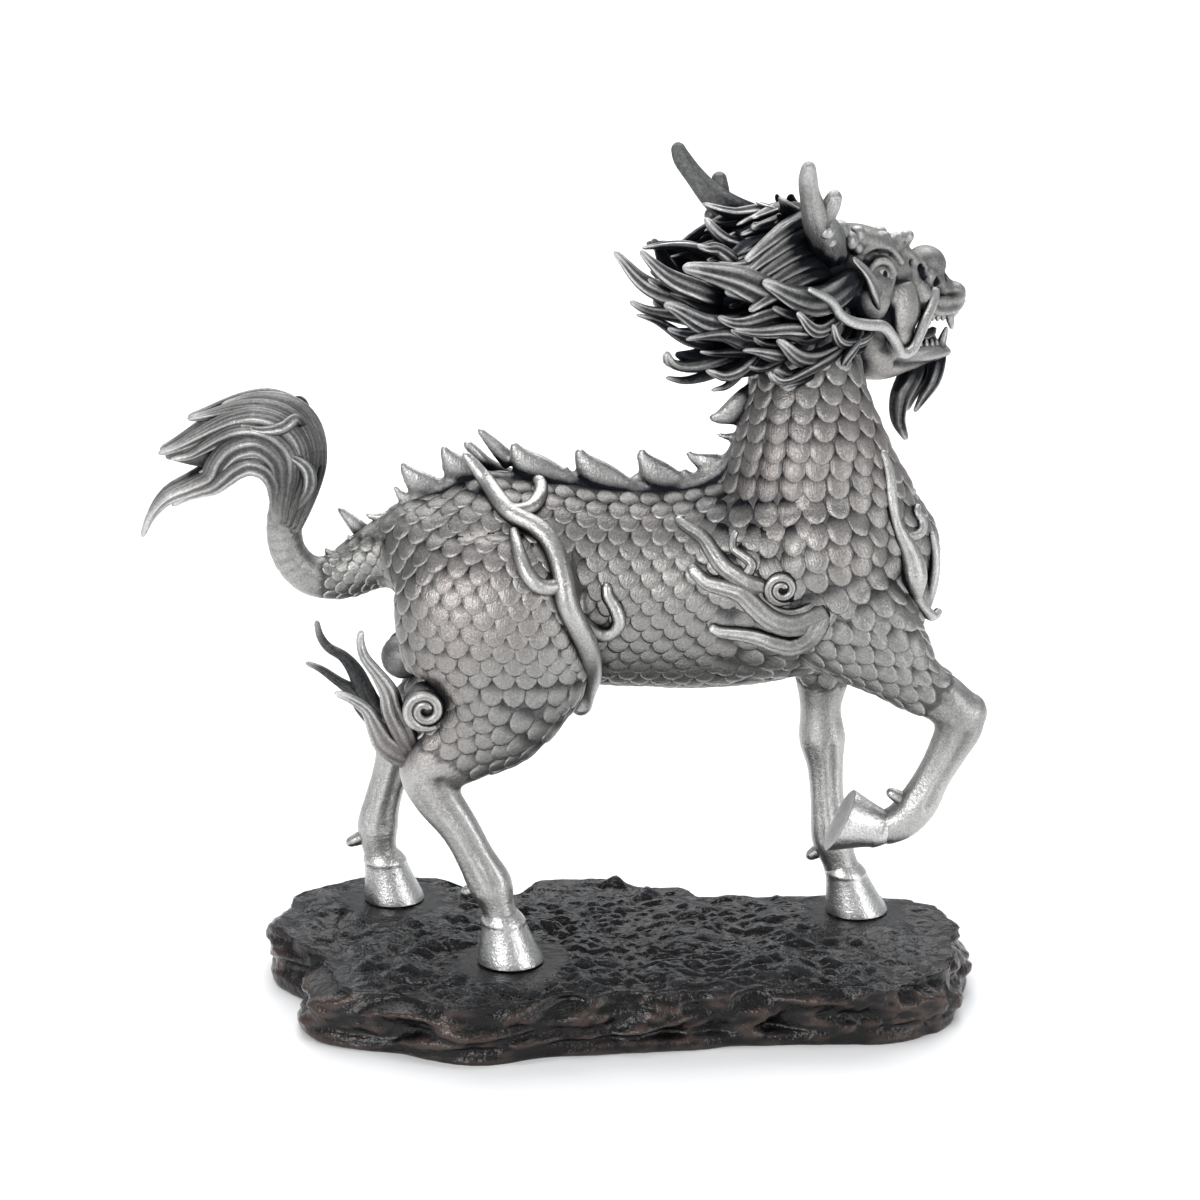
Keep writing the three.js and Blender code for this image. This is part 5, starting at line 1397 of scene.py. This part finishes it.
class Filled:
    """Grid of the space inside skins that may overlap, for finding hollows and ridges."""

    def __init__(self, shapes):
        self.low = np.min([s.points.min(0) for s in shapes], 0) - GRID_MARGIN + GRID_SHIFT
        high = np.max([s.points.max(0) for s in shapes], 0) + GRID_MARGIN
        self.size = np.ceil((high - self.low) / GRID_CELL).astype(int)
        grid = np.zeros(self.size, np.int16)
        for shape in shapes:
            self.add(grid, shape.points[shape.triangles()])
        self.grid = (np.cumsum(grid, axis=2) > 0).astype(np.float32)

    def add(self, grid, corners):
        """Counts, in each column of cells, where triangles lead into a skin (1) and out of it (-1)."""
        spot = (corners - self.low) / GRID_CELL - 0.5
        first = np.ceil(spot[..., :2].min(1)).astype(int)
        count = np.floor(spot[..., :2].max(1)).astype(int) - first + 1
        some = (count > 0).all(1)
        spot, first, count = spot[some], first[some], count[some]
        number = count[:, 0] * count[:, 1]
        which = np.repeat(np.arange(len(spot)), number)
        order = np.arange(number.sum()) - np.repeat(np.cumsum(number) - number, number)
        i = first[which, 0] + order // count[which, 1]
        j = first[which, 1] + order % count[which, 1]
        a, b, c = (spot[which, k] for k in range(3))
        area = (b[:, 1] - c[:, 1]) * (a[:, 0] - c[:, 0]) + (c[:, 0] - b[:, 0]) * (a[:, 1] - c[:, 1])
        area = np.where(np.abs(area) < 1e-12, 1e-12, area)
        u = ((b[:, 1] - c[:, 1]) * (i - c[:, 0]) + (c[:, 0] - b[:, 0]) * (j - c[:, 1])) / area
        v = ((c[:, 1] - a[:, 1]) * (i - c[:, 0]) + (a[:, 0] - c[:, 0]) * (j - c[:, 1])) / area
        w = 1 - u - v
        inside = (u >= 0) & (v >= 0) & (w >= 0) & (np.abs(area) > 1e-11)
        height = u * a[:, 2] + v * b[:, 2] + w * c[:, 2]
        k = np.clip(np.ceil(height).astype(int), 0, self.size[2] - 1)
        np.add.at(grid, (i[inside], j[inside], k[inside]), np.where(area[inside] > 0, -1, 1).astype(np.int16))

    def blurred(self, radius):
        """Share of filled space within about the radius of each cell."""
        reach = max(1, int(round(radius / GRID_CELL / 1.4)))
        grid = self.grid
        for axis in (0, 1, 2, 0, 1, 2):
            total = np.cumsum(grid, axis=axis, dtype=np.float32)
            cells = np.arange(grid.shape[axis])
            ahead = np.take(total, np.minimum(cells + reach, cells[-1]), axis)
            behind = np.take(total, np.maximum(cells - reach - 1, 0), axis)
            grid = (ahead - behind) / (2 * reach + 1)
        return grid

    def read(self, grid, points):
        """Values of a grid at the points, between its cells."""
        spot = np.clip((points - self.low) / GRID_CELL - 0.5, 0, self.size - 1.001)
        base = spot.astype(int)
        part = spot - base
        total = np.zeros(len(points))
        for corner in np.ndindex(2, 2, 2):
            weight = np.prod([part[:, k] if corner[k] else 1 - part[:, k] for k in range(3)], axis=0)
            total += weight * grid[base[:, 0] + corner[0], base[:, 1] + corner[1], base[:, 2] + corner[2]]
        return total


def hollow_patina_and_shade(shapes):
    """Darkens hollows with patina and painted shade, from how much metal stands round each point, and rubs
    ridges.
    """
    filled = Filled(shapes)
    wide, close, far = filled.blurred(6.0), filled.blurred(2.0), filled.blurred(12.0)
    for shape in shapes:
        normals = point_normals(shape)
        shut = filled.read(wide, shape.points + normals * 3.2)
        tight = filled.read(close, shape.points + normals * 0.5)
        deep = filled.read(far, shape.points + normals * 6.5)
        # Patina in the hollows, with the shade that falls in them painted over it.
        shape.dark += 1.4 * smooth_step(0.2, 0.6, shut) + 0.6 * smooth_step(0.48, 0.78, tight)
        # Painted shade, from how much metal stands within a wide reach of each point.
        shape.dark = np.clip(shape.dark + 0.5 * smooth_step(0.2, 0.55, deep), 0, 1)
        shape.rubbed = np.clip(shape.rubbed + 0.5 * smooth_step(0.42, 0.15, tight), 0, 1)


def stain(body, scales, fin, tuft, hair, head, details, chosen):
    """Darkening that the hollows don't give: painted shade over the back and on the nose, darker
    towards the crown, patina in the hair, and patina with painted shade on the skin between the scales."""
    # Painted shade: darker over the back, less so towards the front.
    for shape in (*scales, fin):
        forward = smooth_step(32, 48, shape.points[:, 0])
        shape.dark += (0.24 - 0.16 * forward) * smooth_step(90, 118, shape.points[:, 2])
    for shape, more in ((tuft, 0.12), (head, 0.12), (details, 0.12), *((lock, 0.1) for lock in hair)):
        shape.dark += more
    tuft.dark *= 0.35 + 0.6 * smooth_step(108, 121, tuft.points[:, 2])
    # Painted shade on the nose, which damps its highlight.
    nose_gap = np.linalg.norm(head.points - head_place([NOSE[:3]])[0], axis=1)
    head.dark += 0.3 * (1 - smooth_step(5.0, 9.0, nose_gap))
    head.dark += 0.3 * smooth_step(172, 182, head.points[:, 2])
    # Patina and painted shade on the skin that shows between the scales.
    places = place_tree(chosen)
    for k, point in enumerate(body.points):
        _, which, distance = places.find(Vector(point))
        if distance < chosen[which][3] * 0.85:
            body.dark[k] = 0.6


class Nodes:
    """Short way to write a material's nodes and links."""

    def __init__(self, name):
        self.material = bpy.data.materials.new(name)
        self.material.use_nodes = True
        self.tree = self.material.node_tree
        self.tree.nodes.clear()
        self.shader = self.add("BsdfPrincipled")
        self.feed(self.add("OutputMaterial"), "Surface", self.shader.outputs["BSDF"])

    def feed(self, node, entry, value):
        """Gives an input a number, a colour or the output of another node."""
        if isinstance(value, tuple):
            node.inputs[entry].default_value = (*value, 1)
        elif isinstance(value, (int, float)):
            node.inputs[entry].default_value = value
        else:
            self.tree.links.new(value, node.inputs[entry])

    def add(self, kind, **inputs):
        node = self.tree.nodes.new("ShaderNode" + kind)
        for entry, value in inputs.items():
            self.feed(node, entry, value)
        return node

    def attribute(self, name, output="Fac"):
        node = self.add("Attribute")
        node.attribute_name = name
        return node.outputs[output]

    def math(self, operation, one, two, clamp=False):
        node = self.add("Math")
        node.operation = operation
        node.use_clamp = clamp
        self.feed(node, 0, one)
        self.feed(node, 1, two)
        return node.outputs[0]

    def ramp(self, value, stops):
        node = self.add("ValToRGB", Fac=value)
        elements = node.color_ramp.elements
        while len(elements) < len(stops):
            elements.new(0.5)
        for element, (place, colour) in zip(elements, stops):
            element.position = place
            element.color = (*colour, 1)
        return node.outputs[0]

    def mix(self, factor, one, two, blend="MIX"):
        node = self.add("Mix")
        node.data_type = "RGBA"
        node.blend_type = blend
        for entry, value in ((0, factor), (6, one), (7, two)):
            self.feed(node, entry, value)
        return node.outputs[2]

    def noise(self, scale, detail, place, roughness=0.5):
        node = self.add("TexNoise", Scale=scale, Detail=detail, Roughness=roughness, Vector=place)
        return node.outputs["Fac"]

    def bump(self, height, strength, distance):
        node = self.add("Bump", Strength=strength, Distance=distance, Height=height)
        self.feed(self.shader, "Normal", node.outputs["Normal"])


def pewter():
    """Satin cast metal: grey, near-black where patina and painted shade lie, bright where it is rubbed, with
    a fine grain.
    """
    n = Nodes("cast_pewter")
    place = n.add("TexCoord").outputs["Object"]
    rubbed, dark = n.attribute("rubbed"), n.attribute("dark")
    grain = n.attribute("grain", "Vector")
    blotch = n.noise(45.0, 4.0, place, 0.6)
    fine = n.noise(900.0, 2.0, place, 0.6)
    sparkle = n.noise(2100.0, 2.0, place, 0.6)

    patina_and_shade = n.math("ADD", dark, n.math("MULTIPLY", n.math("SUBTRACT", blotch, 0.5), 0.55))
    patina_and_shade = n.math("ADD", patina_and_shade, n.math("MULTIPLY", n.math("SUBTRACT", fine, 0.5), 0.25))
    patina_and_shade = n.math("MULTIPLY", patina_and_shade, 1.0, clamp=True)

    tint = n.ramp(n.noise(18.0, 2.0, place), [(0.3, (0.225, 0.23, 0.215)), (0.5, (0.23, 0.225, 0.215)),
                                              (0.7, (0.25, 0.225, 0.215))])
    light = n.mix(n.math("MULTIPLY", rubbed, 1.0, clamp=True), tint, (0.56, 0.56, 0.55))
    grit = n.ramp(sparkle, [(0.36, (0.62, 0.62, 0.62)), (0.64, (1.25, 1.25, 1.25))])
    light = n.mix(0.55, light, grit, "MULTIPLY")
    # Near black where the patina lies and where shade is painted.
    hollow = n.ramp(patina_and_shade, [(0.05, (0, 0, 0)), (0.95, (1, 1, 1))])
    n.feed(n.shader, "Base Color", n.mix(hollow, light, (0.014, 0.015, 0.019)))
    n.shader.inputs["Metallic"].default_value = 1.0
    rough = n.math("ADD", n.math("MULTIPLY", patina_and_shade, 0.22), n.math("MULTIPLY", fine, 0.2))
    rough = n.math("SUBTRACT", n.math("ADD", rough, 0.32), n.math("MULTIPLY", rubbed, 0.1))
    n.feed(n.shader, "Roughness", rough)

    stretch = n.add("Mapping", Vector=grain)
    stretch.inputs["Scale"].default_value = (1.0, 0.09, 1.0)
    striated = n.add("SeparateXYZ", Vector=grain).outputs["Z"]
    lines = n.math("MULTIPLY", n.noise(2.4, 2.0, stretch.outputs[0]), striated)
    height = n.math("ADD", n.math("MULTIPLY", fine, 0.5), n.math("MULTIPLY", lines, 1.1))
    n.bump(n.math("ADD", height, n.math("MULTIPLY", sparkle, 0.55)), 0.6, 0.00035)
    return n.material


def dark_rock():
    """Dark semi-gloss rock: a painted blue-grey sky reflection on the ridges of the top, coppery brown rub on
    those of the side.
    """
    n = Nodes("dark_rock")
    place = n.add("TexCoord").outputs["Object"]
    blotch = n.noise(60.0, 5.0, place, 0.65)
    fine = n.noise(700.0, 3.0, place, 0.6)
    height = n.add("SeparateXYZ", Vector=place).outputs["Z"]
    sky_sheen_on_top = n.math("MULTIPLY", n.math("SUBTRACT", height, 0.0125), 500.0, clamp=True)
    base = n.ramp(blotch, [(0.35, (0.003, 0.0026, 0.003)), (0.6, (0.005, 0.0045, 0.005)),
                           (0.8, (0.01, 0.008, 0.0075))])
    # Painted sky reflection: blue-grey on the ridges of the top; coppery rub on the ridges of the side.
    ridge = n.mix(sky_sheen_on_top, (0.05, 0.034, 0.028), (0.018, 0.0195, 0.023))
    wear_and_sheen = n.math("MULTIPLY", n.attribute("rubbed"), n.math("ADD", blotch, 0.35), clamp=True)
    hollow = n.math("MULTIPLY", n.attribute("dark"), 0.8)
    n.feed(n.shader, "Base Color", n.mix(hollow, n.mix(wear_and_sheen, base, ridge), (0.003, 0.003, 0.004)))
    n.shader.inputs["Metallic"].default_value = 0.3
    n.shader.inputs["Specular IOR Level"].default_value = 0.42
    n.feed(n.shader, "Roughness", n.math("ADD", n.math("MULTIPLY", fine, 0.16), 0.1))
    n.bump(n.math("ADD", fine, n.math("MULTIPLY", blotch, 1.6)), 0.7, 0.0006)
    return n.material


def rock_base():
    """Rock with strata round its side and rippled waves on top, level under the hooves. It is in
    millimetres in the part's frame."""
    outline, _ = along([[x / 200 * BASE_LENGTH, y / 200 * BASE_DEPTH, 0] for x, y in ROCK_OUTLINE],
                       np.arange(ROCK_COLUMNS) / ROCK_COLUMNS, closed=True)
    seats = []
    for item in HOOVES:
        if item["faces"] == DOWN:
            x, y, _, radius, _ = np.array(item["sole"]) * UNIT
            seats.append((x, y + SET_BACK, radius + SEAT_MARGIN))

    def level(x, y):
        """0 under a hoof, where the top is level, and 1 well away from all of them."""
        gap = min(math.hypot(x - seat_x, y - seat_y) - radius for seat_x, seat_y, radius in seats)
        return smooth_step(0.0, SEAT_SLOPE, gap)

    def wave(x, y, z):
        return noise.noise(Vector((x, y, z)))

    def ridge(x, y, z):
        return 1 - 2.4 * abs(wave(x, y, z))

    def top(x, y):
        warp_x = 6 * wave(x * 0.045, y * 0.07, 3.1)
        warp_y = 5 * wave(x * 0.05, y * 0.06, 8.4)
        flow = ridge((x + warp_x) * 0.07, (y + warp_y) * 0.17, 1.3)
        folds = ridge((x + warp_x) * 0.16, (y + warp_y) * 0.38, 5.7)
        lumps = wave(x * 0.06, y * 0.09, 7.7)
        small = wave(x * 0.4, y * 0.7, 9.2)
        return (1.0 * flow - 1.1 * folds + 2.2 * lumps + 0.6 * small - 0.1) * level(x, y)

    rings = []
    for i in range(ROCK_SIDE_ROWS):
        share = i / (ROCK_SIDE_ROWS - 1)
        height = share * (BASE_HEIGHT - ROCK_LIP)
        ring = []
        for x, y, _ in outline:
            strata = ridge(x * 0.045, y * 0.045, height * 0.22 + 2)
            bulge = wave(x * 0.085, y * 0.085, height * 0.2)
            gouge = ridge(x * 0.20, y * 0.20, height * 0.04 + 6) * smooth_step(40, 62, x)
            rough = wave(x * 0.42, y * 0.42, height * 0.5)
            lip = smooth_step(4.4, 2.6, height)
            slump = 2.8 + 3.4 * wave(x * 0.07, y * 0.07, 21)
            push = 1.9 * strata + 4.2 * bulge + 1.4 * gouge + 0.7 * rough - 2.8
            push = push * (1 - 0.7 * lip) - 0.4 * lip
            push -= slump * smooth_step(0.55, 1.0, share) ** 2 + 0.7 * smooth_step(0.07, 0.0, share)
            reach = math.hypot(x, y)
            scale = (reach + min(push, 0.6)) / reach
            ring.append((x * scale, y * scale, height))
        rings.append(ring)
    rim = np.array(rings[-1])
    for i in range(1, ROCK_TOP_ROWS):
        share = (1 - i / ROCK_TOP_ROWS) ** 0.9
        ring = []
        for x, y, _ in rim:
            px, py = x * share, y * share
            rise = smooth_step(0.0, 0.10, 1 - share)
            relief = top(px, py) * (0.35 + 0.65 * rise)
            ring.append((px, py, BASE_HEIGHT + ROCK_LIP * (rise - 1) + relief))
        rings.append(ring)
    rings = np.array(rings)
    around = (np.roll(rings, 3, 1) + np.roll(rings, -3, 1)) / 2
    order, last = np.arange(len(rings)), len(rings) - 1
    beside = (rings[np.minimum(order + 2, last)] + rings[np.maximum(order - 2, 0)]) / 2
    shape = Shape(*wrap(rings)).outward()
    bend = (2 * rings - around - beside).reshape(-1, 3)
    ridges = np.einsum("ij,ij->i", bend, point_normals(shape)[:len(bend)])
    # Ridges: a coppery rub on the side, and on the top a painted blue-grey sky reflection, which the material
    # gives them.
    shape.rubbed[:len(bend)] = smooth_step(0.05, 0.7, ridges)
    shape.dark[:len(bend)] = 0.7 * smooth_step(0.04, 0.8, -ridges)
    return shape


def softbox(name, place, target, size, power):
    """Rectangular lamp that faces the target."""
    light = bpy.data.lights.new(name, "AREA")
    light.shape = "RECTANGLE"
    light.size, light.size_y = size
    light.energy = power
    lamp = linked(name, light)
    lamp.location = place
    lamp.rotation_euler = (Vector(target) - Vector(place)).to_track_quat("-Z", "Y").to_euler()


def camera_and_light():
    """Camera at the photograph's angle, soft studio light and a pale floor."""
    camera = bpy.data.cameras.new("camera")
    camera.lens, camera.sensor_width = CAMERA_LENS, CAMERA_SENSOR
    camera.clip_end = 20.0
    seat = linked("camera", camera)
    seat.location = np.array(CAMERA_PLACE) * MM
    seat.rotation_euler = (math.radians(CAMERA_TILT), 0, 0)
    scene = bpy.context.scene
    scene.camera = seat

    for lamp in SOFTBOXES:
        softbox(*lamp)
    scene.world = bpy.data.worlds.new("studio")
    scene.world.use_nodes = True
    sky = scene.world.node_tree.nodes["Background"]
    sky.inputs[0].default_value = (0.95, 0.97, 1.0, 1)
    sky.inputs[1].default_value = 0.55
    scene.view_settings.view_transform = "Standard"

    floor = new_mesh("floor", [(-4, -4, 0), (4, -4, 0), (4, 4, 0), (-4, 4, 0)], [(0, 1, 2, 3)])
    paper = Nodes("white_floor")
    paper.shader.inputs["Base Color"].default_value = (0.93, 0.93, 0.93, 1)
    paper.shader.inputs["Roughness"].default_value = 0.35
    floor.materials.append(paper.material)
    linked("floor", floor)


def main():
    metal, rock = pewter(), dark_rock()
    camera_and_light()

    body = build_body()
    tree = tree_of(body)
    feet = build_feet()
    flames = join(skin_flames(tree) + free_flames())
    fin = crest()
    tuft = join(tail_tuft())
    hair = [shape.mapped(head_place) for shape in mane()]
    head = sculpt(remeshed(join(head_forms()), *HEAD_SKIN), FACE_STROKES, FACE_STAIN).mapped(head_place)
    head.rubbed += 0.1
    details = join(horns() + face_details()).mapped(head_place)

    chosen = lay_scales(scale_groups(tree), tree)
    half = len(chosen) // 2
    scales = [shape_plates(chosen[:half], tree, 3), shape_plates(chosen[half:], tree, 4)]

    hollow_patina_and_shade([body, feet, flames, fin, tuft, *hair, head, details])
    stain(body, scales, fin, tuft, hair, head, details, chosen)

    pieces = {"body": body, "hooves": feet, "scales_limbs": scales[0], "scales_trunk": scales[1],
              "flames": flames, "crest": fin, "tail_tuft": tuft, "mane_right": hair[0],
              "mane_left": hair[1], "mane_under": hair[2], "head": head, "horns_and_beard": details}
    for name, shape in pieces.items():
        sharp = 35 if name == "hooves" else None
        place_object("qilin_" + name, shape, metal, "qilin", sharp)

    base = rock_base()
    base.points = (base.points - (0, SET_BACK, SOLES)) / UNIT
    place_object("rock_base_surface", base, rock, "rock_base")


main()
